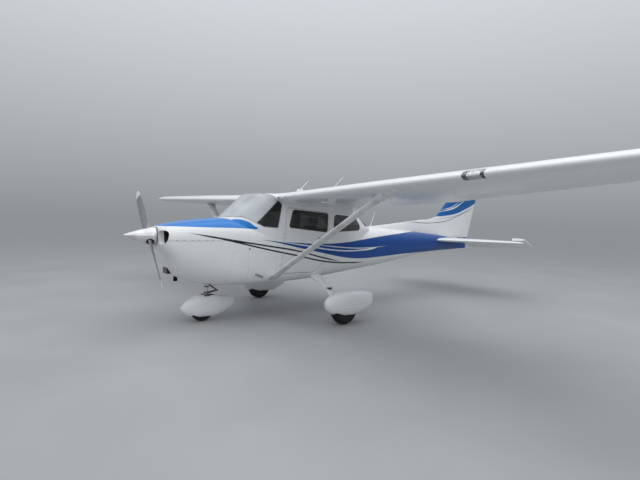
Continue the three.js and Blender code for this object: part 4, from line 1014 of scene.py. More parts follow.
SCREEN_SEAL = rubber_finish("windscreen_seal", (0.42, 0.43, 0.44, 1), 0.45)
GLAZING = glazing_finish("cabin_glazing", (0.045, 0.05, 0.048, 1), 0.58)
# Its last number is the strength of the painted reflection on the front of the windscreen.
WINDSCREEN = glazing_finish("windscreen_glazing", (0.02, 0.024, 0.023, 1), 0.62, 0.9)
LAMP = glazing_finish("lamp_lens", (0.85, 0.87, 0.88, 1), 0.8)
COVER = glazing_finish("lamp_cover", (0.85, 0.87, 0.88, 1), 0.25)
TRIM = moulded_finish("cabin_trim", (0.34, 0.31, 0.27, 1), 0.6)
PANEL_BLACK = moulded_finish("panel_crackle", (0.022, 0.022, 0.024, 1), 0.6, 700, 0.2)
CARPET = moulded_finish("cabin_carpet", (0.045, 0.047, 0.055, 1), 0.95, 900, 1.2)
DUCT = duct_finish()
CLOTH = woven_finish("seat_weave", (0.42, 0.36, 0.27, 1), (0.24, 0.20, 0.15, 1))
WEBBING = woven_finish("belt_webbing", (0.06, 0.06, 0.065, 1), (0.03, 0.03, 0.03, 1), 0.0016)


# Camera, floor and light
def place_camera():
    azimuth, tilt, roll = CAMERA_AZIMUTH, CAMERA_TILT, CAMERA_ROLL
    back = Vector((math.sin(azimuth) * math.cos(tilt), -math.cos(azimuth) * math.cos(tilt), math.sin(tilt)))
    right = Vector((math.cos(azimuth), math.sin(azimuth), 0))
    up = back.cross(right)
    across_x = right * math.cos(roll) + up * math.sin(roll)
    across_y = up * math.cos(roll) - right * math.sin(roll)
    camera = linked("photo_camera", bpy.data.cameras.new("photo_camera"))
    camera.data.sensor_width = SENSOR
    camera.data.lens = SENSOR * FOCAL_PIXELS / IMAGE_WIDTH
    camera.data.clip_end = 300
    turn = Matrix((across_x, across_y, back)).transposed()
    camera.matrix_world = Matrix.Translation(CAMERA_PLACE) @ turn.to_4x4()
    bpy.context.scene.camera = camera


def place_floor():
    finish = Finish("pale_floor", Specular_IOR_Level=0.3)
    cloud = finish.noise(0.6, 5)
    finish.give("Base_Color", finish.mix(finish.span(cloud, 0.3, 0.7), (0.33, 0.335, 0.34, 1),
                                         (0.38, 0.385, 0.39, 1)))
    finish.give("Roughness", finish.span(cloud, 0.3, 0.7, 0.55, 0.75))
    finish.relief(finish.noise(160, 3), 0.5, 0.4)
    bm = bmesh.new()
    bmesh.ops.create_grid(bm, x_segments=1, y_segments=1, size=60)
    mesh = bpy.data.meshes.new("studio_floor")
    bm.to_mesh(mesh)
    mesh.materials.append(finish.material)
    linked("studio_floor", mesh)


def place_light():
    world = bpy.data.worlds.new("studio_air")
    world.use_nodes = True
    tree = world.node_tree
    back = tree.nodes["Background"]
    coords = tree.nodes.new("ShaderNodeTexCoord")
    split = tree.nodes.new("ShaderNodeSeparateXYZ")
    ramp = tree.nodes.new("ShaderNodeValToRGB")
    tree.links.new(coords.outputs["Generated"], split.inputs[0])
    tree.links.new(split.outputs[2], ramp.inputs[0])
    tree.links.new(ramp.outputs[0], back.inputs[0])
    ramp.color_ramp.elements[0].position = 0.0
    ramp.color_ramp.elements[0].color = (0.34, 0.36, 0.38, 1)
    ramp.color_ramp.elements[1].position = 0.5
    ramp.color_ramp.elements[1].color = (0.86, 0.90, 0.95, 1)
    back.inputs[1].default_value = 0.80
    bpy.context.scene.world = world
    bpy.context.scene.view_settings.view_transform = "Standard"
    for name, place, target, size, power in (
            ("overhead_softbox", (1.5, -1.5, 11), (0, -0.5, 1), 15, 800),
            ("front_softbox", (9, -9, 6), (0, -1.5, 1.2), 8, 150)):
        lamp = bpy.data.lights.new(name, "AREA")
        lamp.shape = "SQUARE"
        lamp.size = size
        lamp.energy = power
        towards = (Vector(target) - Vector(place)).to_track_quat("-Z", "Y")
        linked(name, lamp).matrix_world = Matrix.Translation(place) @ towards.to_matrix().to_4x4()


place_camera()
place_floor()
place_light()

THRUST_Y, THRUST_Z, THRUST_TILT, THRUST_CLOCK = -3810, 1260, math.radians(2.5), math.radians(49)
SEAT_ON_THRUST = (seat_at(0, THRUST_Y, THRUST_Z) @ Matrix.Rotation(-THRUST_TILT, 4, "X")
                  @ Matrix.Rotation(-THRUST_CLOCK, 4, "Y"))


def on_thrust(distance):
    return (0, THRUST_Y + distance * math.cos(THRUST_TILT), THRUST_Z - distance * math.sin(THRUST_TILT))


def studs(name, spots, body, material=None, radius=6, dome=2.2):
    """Screw heads on a skin, from places and outward directions in millimetres."""
    heads = []
    for place, out in spots:
        heads.append(turned([(0, dome), (radius * 0.55, dome * 0.85), (radius * 0.9, dome * 0.45),
                             (radius, 0), (radius, -dome), (0, -dome)], seat_at(*place) @ facing(out), 14))
    return piece(name, together(*heads), body, material or STEEL)


def on_side(y, z, side=1):
    """Place and outward direction on the body's side."""
    x = side_x(y, z)
    dx_dy = (side_x(y + 5, z) - side_x(y - 5, z)) / 10
    dx_dz = (side_x(y, z + 5) - side_x(y, z - 5)) / 10
    return Vector((x * side, y, z)), Vector((side, -dx_dy, -dx_dz)).normalized()


# Cowling: two moulded halves, the inlets and their ducts
CHEEK_X, CHEEK_Z, CHEEK_HALF, CHEEK_HEIGHT = 262, 1253, 94, 192
CHEEK_POWER, CHEEK_OUTER_POWER = 3.4, 2.4
INTAKE_HALF, INTAKE_LOW, INTAKE_HIGH = 74, 736, 828
EXHAUST_X, EXHAUST_Y, EXHAUST_RADIUS = -205, -3372, 28


def cheek_outline(grow=0, count=72):
    outline = []
    for angle in turns(DENSE):
        power = CHEEK_POWER if math.cos(angle) < 0 else CHEEK_OUTER_POWER
        outline.append((CHEEK_X + (CHEEK_HALF + grow) * squircle(math.cos(angle), power), 0,
                        CHEEK_Z + (CHEEK_HEIGHT / 2 + grow) * squircle(math.sin(angle), power)))
    return [(p.x, p.z) for p in even(outline, count)]


def intake_outline(grow=0):
    half, low, high = INTAKE_HALF + grow, INTAKE_LOW - grow, INTAKE_HIGH + grow
    return [(-half, low), (half, low), (half, high), (-half, high)]


def cowling():
    shell = cut(fuselage(0, high=-2500), lining(fuselage(-COWL_WALL, high=-2500)))
    shell = kept(shell, ahead_of_firewall(-GAP))
    room = fuselage(-2, high=-2500)
    ducts = []
    for side in (1, -1):
        duct = prism("y", cheek_outline(5), -3760, -3560)
        hole = lining(prism("y", cheek_outline(), -3940, -3540))
        ducts.append((kept(to_side(duct, side), room), to_side(hole, side)))
    throat = kept(prism("y", intake_outline(5), -3760, -3430, 30), room)
    ducts.append((throat, lining(prism("y", intake_outline(), -3940, -3420, 26))))
    shell = joined(shell, *[duct for duct, hole in ducts])
    shell = cut(shell, *[hole for duct, hole in ducts])
    shell = cut(shell, rod(on_thrust(-60), on_thrust(260), 62, sides=48),
                rod((EXHAUST_X, EXHAUST_Y, 500), (EXHAUST_X, EXHAUST_Y, 900), EXHAUST_RADIUS + 4),
                block((-70, -3040, 450), (70, -2850, 700)))
    upper = kept(shell, block((-900, -4400, COWL_SEAM), (900, 0, 2400)))
    lower = kept(shell, block((-900, -4400, 200), (900, 0, COWL_SEAM - GAP)))
    piece("cowl_upper_half", upper, "airframe", COWL, ["cowling_upper"], inner=DUCT)
    piece("cowl_lower_half", lower, "airframe", COWL, ["cowling_lower"], inner=DUCT)


def cowl_trim():
    """Rolled lips of the inlets, the screws of the halves and the small fittings on them."""
    lips = []
    for side in (1, -1):
        rim = [(side * x, nose_y(x, z) + 1.5, z) for x, z in cheek_outline(-0.5, 60)]
        lips.append(swept(rim, 3.4, 10, closed=True))
    outline = rounded(intake_outline(6), 30, 6)
    lips.append(swept([(p[0], nose_y(abs(p[0]), p[1]) + 4, p[1]) for p in outline], 12, 16, closed=True))
    piece("inlet_lips", together(*lips), "airframe", PLAIN_WHITE)
    spots = []
    for side in (1, -1):
        spots += [on_side(y, COWL_SEAM + 10, side) for y in spread(-3560, -2800, 96)]
        spots += [on_side(FIREWALL_Y + (z - FIREWALL_Z) * FIREWALL_SLOPE - 16, z, side)
                  for z in spread(640, 1440, 134)]
    studs("cowl_screws", spots, "airframe", radius=6.5)
    grille = [rod((x, -3590, INTAKE_LOW + 2), (x, -3590, INTAKE_HIGH - 2), 1.6, sides=8)
              for x in spread(-82, 82, 11)]
    grille += [rod((-INTAKE_HALF + 2, -3590, z), (INTAKE_HALF - 2, -3590, z), 1.6, sides=8)
               for z in spread(INTAKE_LOW + 8, INTAKE_HIGH - 8, 11)]
    piece("air_filter_screen", together(*grille), "airframe", STEEL)
    pad_block = block((-INTAKE_HALF - 2, -3572, INTAKE_LOW - 2), (INTAKE_HALF + 2, -3530, INTAKE_HIGH + 2))
    piece("air_filter", pad_block, "airframe", BAFFLE, bevel=2)


def engine():
    """Crankcase, finned cylinders behind the cheek inlets, and the baffles between them."""
    case = joined(block((-150, -3590, 1010), (150, -3010, 1330)),
                  rod((0, -3560, 1170), (0, -3020, 1170), 172))
    parts = [kept(case, fuselage(-20))]
    for side in (1, -1):
        for y in (-3440, -3270):
            for x in spread(170, 372, 9.2):
                parts.append(rod((side * x, y, 1210), (side * (x + 4), y, 1210), 74, sides=28))
            parts.append(rod((side * 150, y, 1210), (side * 385, y, 1210), 52, sides=28))
            parts.append(rod((side * 385, y, 1210), (side * 400, y, 1240), 46, 30, sides=20))
    core = kept(together(*parts), fuselage(-12))
    shaft = rod(on_thrust(42.6), on_thrust(300), 42, sides=40)
    piece("engine_core", together(core, shaft), "airframe", ENGINE_IRON, ["engine_block"])
    room = fuselage(-11)
    side_wall = cut(block((150, -3560, 1140), (392, -3552, 1390)),
                    rod((270, -3600, 1210), (270, -3500, 1210), 66))
    side_wall = kept(side_wall, room)
    back_wall = kept(block((-400, -3180, 1120), (400, -3174, 1420)), room)
    front_wall = kept(block((-148, -3556, 900), (148, -3548, 1390)), room)
    walls = together(side_wall, back_wall, mirrored(side_wall), front_wall)
    piece("cooling_baffles", walls, "airframe", BAFFLE)


def exhaust():
    finish = Finish("heat_stained_steel", Metallic=1.0)
    heat = finish.span(finish.z, 0.59, 0.8)
    stain = finish.noise(30, 5, stretch=(1, 1, 0.4))
    base = finish.mix(heat, (0.016, 0.014, 0.013, 1), (0.10, 0.085, 0.075, 1))
    finish.give("Base_Color", finish.mix(finish.span(stain, 0.4, 0.7), base, (0.008, 0.007, 0.007, 1)))
    finish.give("Roughness", finish.span(stain, 0.3, 0.7, 0.5, 0.8))
    finish.relief(stain, 0.4, 0.5)
    seat = seat_at(EXHAUST_X, EXHAUST_Y, 590)
    pipe = turned([(25, 0), (25, 222), (24, 226), (0, 226), (0, 240), (28, 240), (28, 40), (31, 28),
                   (31.5, 3), (30, 0), (25, 0)], seat, 48)
    clamp = turned([(28, 150), (31, 151), (31, 165), (28, 166)], seat, 48)
    piece("exhaust_stack", together(pipe, clamp), "airframe", finish.material,
          ["exhaust_pipe"])


cowling()
cowl_trim()
engine()
exhaust()


# Cabin: riveted shell, doors, panes
DOOR_HINGES = [(535, -1998, 819), (535, -1998 + (1297 - 819) * 0.1073, 1297)]
KNUCKLE_LENGTH, KNUCKLE_RADIUS, PIN_RADIUS, LEAF = 46, 10, 5, 34


def centre_section():
    ring = wing_ring(WING[0])
    return loft([[Vector((x, p.y, p.z)) for p in ring] for x in (-CENTRE_HALF_WIDTH, CENTRE_HALF_WIDTH)])


def cabin_outer(grow=0):
    return joined(fuselage(grow, low=-3200, high=420), cabin_top(-grow, 1925))


def cabin_hollow(trim=0):
    room = kept(fuselage(-CABIN_WALL - trim, low=-3200, high=420),
                block((-900, -3300, 300), (900, CABIN_END - CABIN_WALL - trim, 2400)))
    room = cut(room, ahead_of_firewall(CABIN_WALL + trim))
    return joined(room, cabin_top(CABIN_WALL + trim, CEILING))


def hinge_parts():
    along = (Vector(DOOR_HINGES[1]) - Vector(DOOR_HINGES[0])).normalized()
    fixed, moving = [], []
    for centre in map(Vector, DOOR_HINGES):
        reach = KNUCKLE_LENGTH / 2
        fixed.append(rod(centre - along * (reach + 12), centre + along * (reach + 12), PIN_RADIUS, sides=20))
        for end in (-1, 1):
            middle = centre + along * end * (reach + 12)
            fixed.append(block(middle - Vector((34, 40, 5)), middle + Vector((8, 6, 5))))
        bore = rod(centre - along * 60, centre + along * 60, PIN_RADIUS + 0.4, sides=20)
        barrel = cut(rod(centre - along * reach, centre + along * reach, KNUCKLE_RADIUS, sides=28), bore)
        leaf = block(centre - Vector((14, 2, reach - 4)), centre + Vector((-2, LEAF, reach - 4)))
        moving.append(joined(barrel, cut(leaf, bore)))
    room = [rod(Vector(c) - along * 28, Vector(c) + along * 28, KNUCKLE_RADIUS + CLEAR, sides=28)
            for c in DOOR_HINGES]
    return fixed, moving, room


FIXED_LEAVES, MOVING_LEAVES, KNUCKLE_ROOM = hinge_parts()


def cowling_room():
    """The cowling's own space, with a hair's gap, under the foot of the windscreen."""
    return kept(fuselage(0.6, low=-3400, high=-2300), ahead_of_firewall(0))


def cabin():
    outer = joined(cut(cabin_outer(), across(WINDSHIELD, 0, 30)), centre_section())
    below = kept(ahead_of_firewall(0), block((-950, -4500, 200), (950, -2000, 1450)))
    outer = cut(outer, cowling_room(), below, block((-900, CABIN_END, 300), (900, 4400, 2800)))
    shell = cut(outer, lining(cabin_hollow()))
    shell = cut(shell, across(REAR_WINDOW, 0, 30), across(SIDE_WINDOW, 0, 60))
    for side in (1, -1):
        shell = cut(shell, *[to_side(bm, side) for bm in [across(DOOR, 0, 64, 200, 900)] + KNUCKLE_ROOM])
    piece("cabin_skin", shell, "airframe", HULL,
          ["cabin_front", "cabin_rear", "cabin_floor", "cabin_roof"], inner=TRIM)
    for side, sign in SIDES:
        leaves = to_side(together(*FIXED_LEAVES), sign)
        piece(f"door_hinge_fixed_{side}", leaves, "airframe", PLAIN_WHITE, bevel=1)


def doors():
    skin = cut(cabin_outer(), lining(cabin_hollow()))
    skin = kept(skin, across(DOOR, CLEAR, 60, 200, 900), block((200, -2100, 600), (700, -1000, 1740)))
    skin = cut(skin, across(DOOR_WINDOW, 0, 50))
    for side, sign in SIDES:
        body = f"door_leaf_{side}"
        piece(f"door_panel_{side}", to_side(skin, sign), body, HULL, [f"door_{side}"],
              inner=TRIM)
        leaves = to_side(together(*MOVING_LEAVES), sign)
        piece(f"door_hinge_leaf_{side}", leaves, body, PLAIN_WHITE, bevel=0.8)


def door_seals():
    """Rubber-faced flange inside the cabin wall, behind the gap round each door."""
    band = cut(cabin_hollow(0.8), cabin_hollow(6))
    ring = cut(across(DOOR, -22, 70, 200, 900), across(DOOR, 16, 50, 150, 950))
    flange = kept(band, ring)
    for side, sign in SIDES:
        piece(f"door_seal_{side}", to_side(flange, sign), "airframe", BAFFLE)


SEAL_WIDTH = 11
SIDE_REACH = {0: (-900, 900), 1: (200, 900), -1: (-900, -200)}


def pane(node, corners, radius, body="airframe", side=0):
    """Glass in its opening, with the rubber or white bead round it."""
    screen = node == "windshield"
    around = [centre_section()] + ([cowling_room()] if screen else [])
    opening = across(corners, GAP, radius, *SIDE_REACH[side])
    glass = kept(cut(cabin_outer(0.1), cabin_outer(-PANE)), opening)
    name = node.replace("window", "window_pane") if "window_" in node else f"{node}_pane"
    piece(name, cut(glass, *around), body, WINDSCREEN if screen else GLAZING, [node])
    rim = cut(opening, across(corners, SEAL_WIDTH, max(radius - SEAL_WIDTH, 8), -950, 950))
    rim = kept(cut(cabin_outer(1.6), cabin_outer(-PANE - 2)), rim)
    piece(f"{name}_seal", cut(rim, *around), body, SCREEN_SEAL if screen else SEAL)


cabin()
doors()
door_seals()
pane("windshield", WINDSHIELD, 30)
pane("rear_window", REAR_WINDOW, 30)
for side, sign in SIDES:
    pane(f"side_window_{side}", SIDE_WINDOW, 60, side=sign)
    pane(f"door_window_{side}", DOOR_WINDOW, 50, f"door_leaf_{side}", sign)


# Hinge brackets of the control surfaces
def hinge_plate(axis, hinge, place, outline, half, boss, boss_half):
    """Plate across a hinge line with a round boss on it; the outline gives distances ahead and aside."""
    if axis == "x":
        corners = [(hinge.y - ahead, hinge.z + aside) for ahead, aside in outline]
        ends = [(place + end, hinge.y, hinge.z) for end in (-boss_half, boss_half)]
    else:
        corners = [(aside, hinge.y - ahead) for ahead, aside in outline]
        ends = [(0, hinge.y, place + end) for end in (-boss_half, boss_half)]
    return joined(prism(axis, corners, place - half, place + half), rod(*ends, boss, sides=24))


def hinge_room(axis, hinge, place, radius, angle):
    """Slot for a bracket in a surface's nose, wide enough for its whole swing."""
    reach = radius * 2
    rise = reach * math.tan(math.radians(angle)) + 15
    return hinge_plate(axis, hinge, place, [(-2, 15), (reach, rise), (reach, -rise), (-2, -15)], 10, 13, 10)


def bracket(axis, hinge, place, ahead):
    """Arm from the fixed skin, with a bushed end on the hinge line."""
    return hinge_plate(axis, hinge, place, [(ahead, 12), (0, 7), (0, -7), (ahead, -12)], 3.5, 10, 7)


def beaded_half(hinge_y, trail, nose, bead, half_at):
    """Half of a beaded section, from its trailing edge round its nose: places along Y and half thickness."""
    outline = []
    for i in range(14):
        share = i / 13
        y = trail + (hinge_y + 6 - trail) * share
        outline.append((y, half_at(y) + bead * min(1, (1 - share) / 0.06, share / 0.05)))
    return outline + [(hinge_y - nose * math.cos(a), nose * math.sin(a))
                      for a in (math.pi / 2 * (1 - k / 6) for k in range(1, 7))]


# Tail cone, fin and rudder
FIN = [
    (960, 2600, 3575),
    (1200, 2250, 3648),
    (1660, 2378, 3800),
    (2000, 2742, 3912),
    (2370, 3062, 4035),
    (2425, 3115, 4052),
    (2446, 3190, 4040),
]
FIN_THICKNESS = 0.085
RUDDER_Y, RUDDER_Z, RUDDER_SLOPE = 3260, 960, 0.25
RUDDER_LOW, HORN_LOW, RUDDER_HORN, RUDDER_NOSE = 968, 2290, 165, 31
RUDDER_FITTINGS = (1593, 1997)
DORSAL = [
    (330, 26, 1380, 1446, 1420, 2, 2),
    (950, 40, 1340, 1510, 1400, 2, 1.6),
    (1700, 50, 1270, 1598, 1360, 2, 1.4),
    (2250, 56, 1230, 1652, 1320, 2, 1.4),
    (2520, 50, 1230, 1745, 1320, 2, 1.5),
]


def fin_half(z, c):
    _, lead, trail = straight(FIN, z)
    return max((trail - lead) * half_thickness(c) * FIN_THICKNESS / THICKNESS, 1)


def rudder_hinge(z):
    return Vector((0, RUDDER_Y + (z - RUDDER_Z) * RUDDER_SLOPE, z))


def fin_blank():
    rings = []
    for z in places(FIN, 60):
        _, lead, trail = straight(FIN, z)
        ring = []
        for i, angle in enumerate(turns(48)):
            c = (1 + math.cos(angle)) / 2
            ring.append((math.copysign(fin_half(z, c), 1 if i <= 24 else -1), lead + c * (trail - lead), z))
        rings.append(ring)
    return loft(rings)


def behind_rudder(low, high, shift=0):
    return prism("x", [(rudder_hinge(low).y - shift, low), (4400, low), (4400, high),
                       (rudder_hinge(high).y - shift, high)], -300, 300)


def fin_and_dorsal():
    cutter = [behind_rudder(900, 2500),
              rod(rudder_hinge(900), rudder_hinge(2500), RUDDER_NOSE + CLEAR, sides=48),
              behind_rudder(HORN_LOW - 10, 2500, RUDDER_HORN + 14)]
    body = joined(fin_blank(), body_loft(DORSAL, 0, 48, 60))
    body = cut(body, fuselage(GAP, low=0, high=3330), *cutter, block((-300, 2000, 0), (300, 4000, 1215)))
    piece("fin_skin", body, "airframe", FIN_SKIN, ["fin"])
    cone = kept(fuselage(0, low=200), block((-900, CABIN_END + GAP, 300), (900, 4400, 2800)))
    cone = cut(cone, *cutter[:2], rod((-200, 3235, 1178), (200, 3235, 1178), 18.6, sides=32))
    piece("tail_cone_skin", cone, "airframe", HULL, ["tail_cone"])


def rudder():
    """Rudder skin with pressed beads across it, its round nose and the horn at the top."""
    rings = []
    for z in spread(RUDDER_LOW, HORN_LOW, 7.4):
        _, lead, trail = straight(FIN, z)
        half = beaded_half(rudder_hinge(z).y, trail, RUDDER_NOSE, beads(z, TAIL_BEAD),
                           lambda y: fin_half(z, (y - lead) / (trail - lead)))
        rings.append([(x, y, z) for y, x in half] + [(-x, y, z) for y, x in reversed(half[:-1])])
    skin = loft(rings)
    brackets = []
    for z in RUDDER_FITTINGS:
        skin = cut(skin, hinge_room("z", rudder_hinge(z), z, RUDDER_NOSE, 22))
        brackets.append(bracket("z", rudder_hinge(z), z, RUDDER_NOSE + CLEAR + 4))
    piece("rudder_brackets", together(*brackets), "airframe", STEEL)
    cap = kept(fin_blank(), joined(behind_rudder(HORN_LOW, 2500, RUDDER_HORN),
                                   behind_rudder(HORN_LOW - 30, 2500)))
    piece("rudder_skin", skin, "rudder_assembly", FIN_SKIN, ["rudder"], crease=math.radians(40))
    piece("rudder_cap", cap, "rudder_assembly", FIN_SKIN)
    base = rod((0, 4000, 2380), (0, 4069.7, 2380), 21, sides=28)
    piece("tail_lamp_base", cut(base, kept(fin_blank(), behind_rudder(2200, 2500))), "rudder_assembly", CAST)
    lens = turned([(0, 0), (20, 0), (20, 30), (18.5, 45), (14, 60), (7, 71), (0, 74)],
                  seat_at(0, 4070, 2380) @ FACING_AFT, 40)
    piece("tail_lamp_lens", lens, "rudder_assembly", LAMP, ["tail_light"])


# Stabilizer and elevator: x, leading edge y, trailing edge y, thickness
STABILIZER = [
    (40, 2243, 3720, 100),
    (1450, 2890, 3535, 58),
    (1650, 2982, 3508, 50),
    (1708, 3030, 3500, 36),
    (1720, 3090, 3470, 20),
]
ELEVATOR_Y, ELEVATOR_Z, ELEVATOR_DROOP = 3235, 1178, math.radians(23.5)
HORN_INNER, HORN_REACH = 1455, 173
ELEVATOR_FITTING = 1000
ELEVATOR_INNER, INNER_NOSE, OUTER_NOSE = 85, 31.5, 23.5


def tail_half(row, y):
    _, lead, trail, thick = row
    c = min(max((y - lead) / (trail - lead), 0), 1)
    return max(thick / 2 * half_thickness(c) / (THICKNESS / 2), 1)


def tail_blank():
    rings = []
    for x in TAIL_STATIONS:
        row = straight(STABILIZER, x)
        ring = []
        for i, angle in enumerate(turns(48)):
            y = row[1] + (row[2] - row[1]) * (1 + math.cos(angle)) / 2
            ring.append((x, y, ELEVATOR_Z + math.copysign(tail_half(row, y), 1 if i <= 24 else -1)))
        rings.append(ring)
    return loft(rings)


TAIL_STATIONS = spread(40, 1450, 120) + [1550, 1650, 1680, 1700, 1708, 1715, 1720]


def stabilizer():
    blank = tail_blank()
    fixed = cut(blank, block((-10, ELEVATOR_Y, 900), (1800, 3900, 1400)),
                rod((ELEVATOR_INNER - CLEAR, ELEVATOR_Y, ELEVATOR_Z),
                    (HORN_INNER + 6, ELEVATOR_Y, ELEVATOR_Z), INNER_NOSE + CLEAR, OUTER_NOSE + CLEAR, 48),
                block((HORN_INNER - CLEAR - 2, ELEVATOR_Y - HORN_REACH - 12, 900), (1800, 3900, 1400)),
                fuselage(GAP, low=1500), block((-10, 3000, 900), (95, 3900, 1400)))
    fixed = kept(fixed, block((60, 2000, 900), (1900, 3900, 1500)))
    for side, sign in SIDES:
        piece(f"stabilizer_skin_{side}", to_side(fixed, sign), "airframe", TAIL_SKIN,
              [f"stabilizer_{side}"])


def elevator():
    rings = []
    for x in spread(ELEVATOR_INNER, HORN_INNER, 7.4):
        row = straight(STABILIZER, x)
        share = (x - ELEVATOR_INNER) / (HORN_INNER - ELEVATOR_INNER)
        nose = INNER_NOSE + (OUTER_NOSE - INNER_NOSE) * share
        half = beaded_half(ELEVATOR_Y, row[2], nose, beads(x, TAIL_BEAD), lambda y: tail_half(row, y))
        rings.append([(x, y, ELEVATOR_Z + up) for y, up in half]
                     + [(x, y, ELEVATOR_Z - up) for y, up in reversed(half[:-1])])
    skin = cut(loft(rings), prism("z", [(0, 3240), (100, 3240), (180, 3740), (0, 3740)], 1000, 1400))
    tip = kept(tail_blank(), joined(
        block((HORN_INNER, ELEVATOR_Y - HORN_REACH, 900), (1800, 3900, 1400)),
        block((HORN_INNER + 1, ELEVATOR_Y - 20, 900), (1700, 3900, 1400))))
    tube = rod((-120, ELEVATOR_Y, ELEVATOR_Z), (120, ELEVATOR_Y, ELEVATOR_Z), 18, sides=32)
    hinge = Vector((0, ELEVATOR_Y, ELEVATOR_Z))
    droop = seat_at(*hinge) @ Matrix.Rotation(-ELEVATOR_DROOP, 4, "X") @ seat_at(*-hinge)
    skin = cut(moved(skin, droop), hinge_room("x", hinge, ELEVATOR_FITTING, 30, 56))
    piece("elevator_brackets", both_sides(bracket("x", hinge, ELEVATOR_FITTING, 38)), "airframe", STEEL)
    piece("elevator_skin", both_sides(skin), "elevators", TAIL_SKIN, ["elevator"],
          crease=math.radians(40))
    piece("elevator_tips", moved(both_sides(tip), droop), "elevators", TAIL_SKIN)
    piece("elevator_tube", tube, "elevators", CAST)


def tail_finish():
    finish = enamel("tail_enamel", 0.2)
    far = finish.size(finish.x)
    ribs = finish.rivets(finish.nearest(far, 0.31, 0.2), finish.y, 0.03, 0.0032)
    spar = finish.rivets(finish.less(finish.y, 3.05), far, 0.03, 0.0032)
    heads = finish.times(finish.most(ribs, spar), finish.under(finish.y, 3.19), finish.over(finish.y, 2.6))
    finish.relief(heads, 0.5, 0.8)
    return painted(finish, WHITE, (finish.times(heads, 0.14), JOINT_DARK))


TAIL_SKIN = tail_finish()
fin_and_dorsal()
rudder()
stabilizer()
elevator()


# Wings: riveted skins with beaded flaps and ailerons
FLAP = (640, 2500, 0.7, 0.7)
AILERON = (2520, 5200, 0.785, 0.75)
LIGHT_INNER, LIGHT_OUTER, LIGHT_DEPTH = 3720, 3945, 62
HINGE_SHARES = {"flap": (0.15, 0.85), "aileron": (0.12, 0.88)}


def wings():
    blank = wing_loft(WING_STATIONS)
    parts, brackets = {}, []
    for name, row in (("flap", FLAP), ("aileron", AILERON)):
        skin, room, (start, end, radius) = trailing_surface(*row)
        for share in HINGE_SHARES[name]:
            spot = start.lerp(end, share)
            skin = cut(skin, hinge_room("x", spot, spot.x, radius, 34))
            brackets.append(bracket("x", spot, spot.x, radius + CLEAR + 4))
        parts[name] = skin
        blank = cut(blank, *room)
    for x, radius in ((605, 16), (786, 10)):
        lead = wing_point(wing_station(x), 0, 0) + Vector((0, 0, -6))
        hole = rod(lead + Vector((0, -60, 0)), lead + Vector((0, 70, 0)), radius, sides=32)
        blank = cut(blank, lining(hole))
    lead_y = wing_station(LIGHT_INNER)[1]
    bay = block((LIGHT_INNER, lead_y - 60, 1500), (LIGHT_OUTER, lead_y + LIGHT_DEPTH, 2300))
    for side, skin in (("port", cut(blank, bay)), ("starboard", mirrored(blank))):
        piece(f"wing_skin_{side}", skin, "airframe", WING_SKIN, [f"wing_{side}"], inner=BAFFLE)
    for name, skin in parts.items():
        for side, sign in SIDES:
            piece(f"{name}_skin_{side}", to_side(skin, sign), f"{name}_{side}", WING_SKIN,
                  [f"{name}_{side}"], crease=math.radians(40))
    piece("wing_brackets", both_sides(*brackets), "airframe", STEEL)
    landing_light(lead_y)
    fuel_caps()


def landing_light(lead_y):
    """Ribbed lamp between dark ends, behind the moulded cover."""
    def shape(low, high, grow):
        return wing_loft(spread(low, high, 20), grow)

    def room(low, high, back):
        return block((low, lead_y - 60, 1500), (high, lead_y + LIGHT_DEPTH - back, 2300))

    cover = kept(shape(LIGHT_INNER + 2, LIGHT_OUTER - 2, 0), room(LIGHT_INNER - 5, LIGHT_OUTER + 5, 2))
    cover = cut(cover, shape(LIGHT_INNER - 8, LIGHT_OUTER + 8, -3))
    piece("landing_light_cover", cover, "airframe", COVER, ["landing_light"])
    lamp_inner, lamp_outer = LIGHT_INNER + 48, LIGHT_OUTER - 40
    case = kept(shape(lamp_inner - 20, lamp_outer + 20, -9), room(lamp_inner, lamp_outer, 8))
    piece("landing_light_case", case, "airframe", PLAIN_WHITE)
    blank = shape(LIGHT_INNER, LIGHT_OUTER, -7)
    ends = [kept(blank, room(low, high, 3))
            for low, high in ((LIGHT_INNER + 2, lamp_inner - 2), (lamp_outer + 2, LIGHT_OUTER - 2))]
    piece("landing_light_ends", together(*ends), "airframe", BAFFLE)
    grown = shape(lamp_inner - 20, lamp_outer + 20, -5)
    ribs = [kept(grown, room(x, x + 6, 10)) for x in spread(lamp_inner + 6, lamp_outer - 11, 15)]
    piece("landing_light_ribs", together(*ribs), "airframe", CHROME)


def fuel_caps():
    for side, sign in SIDES:
        row = wing_station(1500)
        top, ahead, behind = (wing_point(row, c, 1) for c in (0.34, 0.32, 0.36))
        out = (behind - ahead).cross(Vector((1, 0, math.tan(DIHEDRAL))))
        out *= math.copysign(1, out.z)
        seat = seat_at(top.x * sign, top.y, top.z) @ facing((out.x * sign, out.y, out.z))
        cap = turned([(0, 5), (30, 5), (34, 3.5), (36, 0), (52, -0.4), (54, -3), (0, -3)], seat, 48)
        tab = moved(block((-4, -26, 4), (4, 26, 13)), seat)
        piece(f"fuel_cap_{side}", together(cap, tab), "airframe", CAST, bevel=0.8)


wings()


# Propeller and spinner. Blade stations: radius, chord, thickness, pitch in degrees
BLADE = [
    (40, 96, 64, 40),
    (130, 92, 46, 38),
    (260, 118, 28, 31),
    (480, 138, 19, 23),
    (700, 132, 13, 18),
    (880, 108, 9, 15),
    (945, 74, 7, 14),
    (965, 30, 4, 14),
]
HUB_RADIUS, HUB_HALF = 62, 42
SPINNER = [(-334.3, 0), (-315, 12), (-277, 29), (-220, 51), (-144, 77), (-49, 106), (46, 134)]


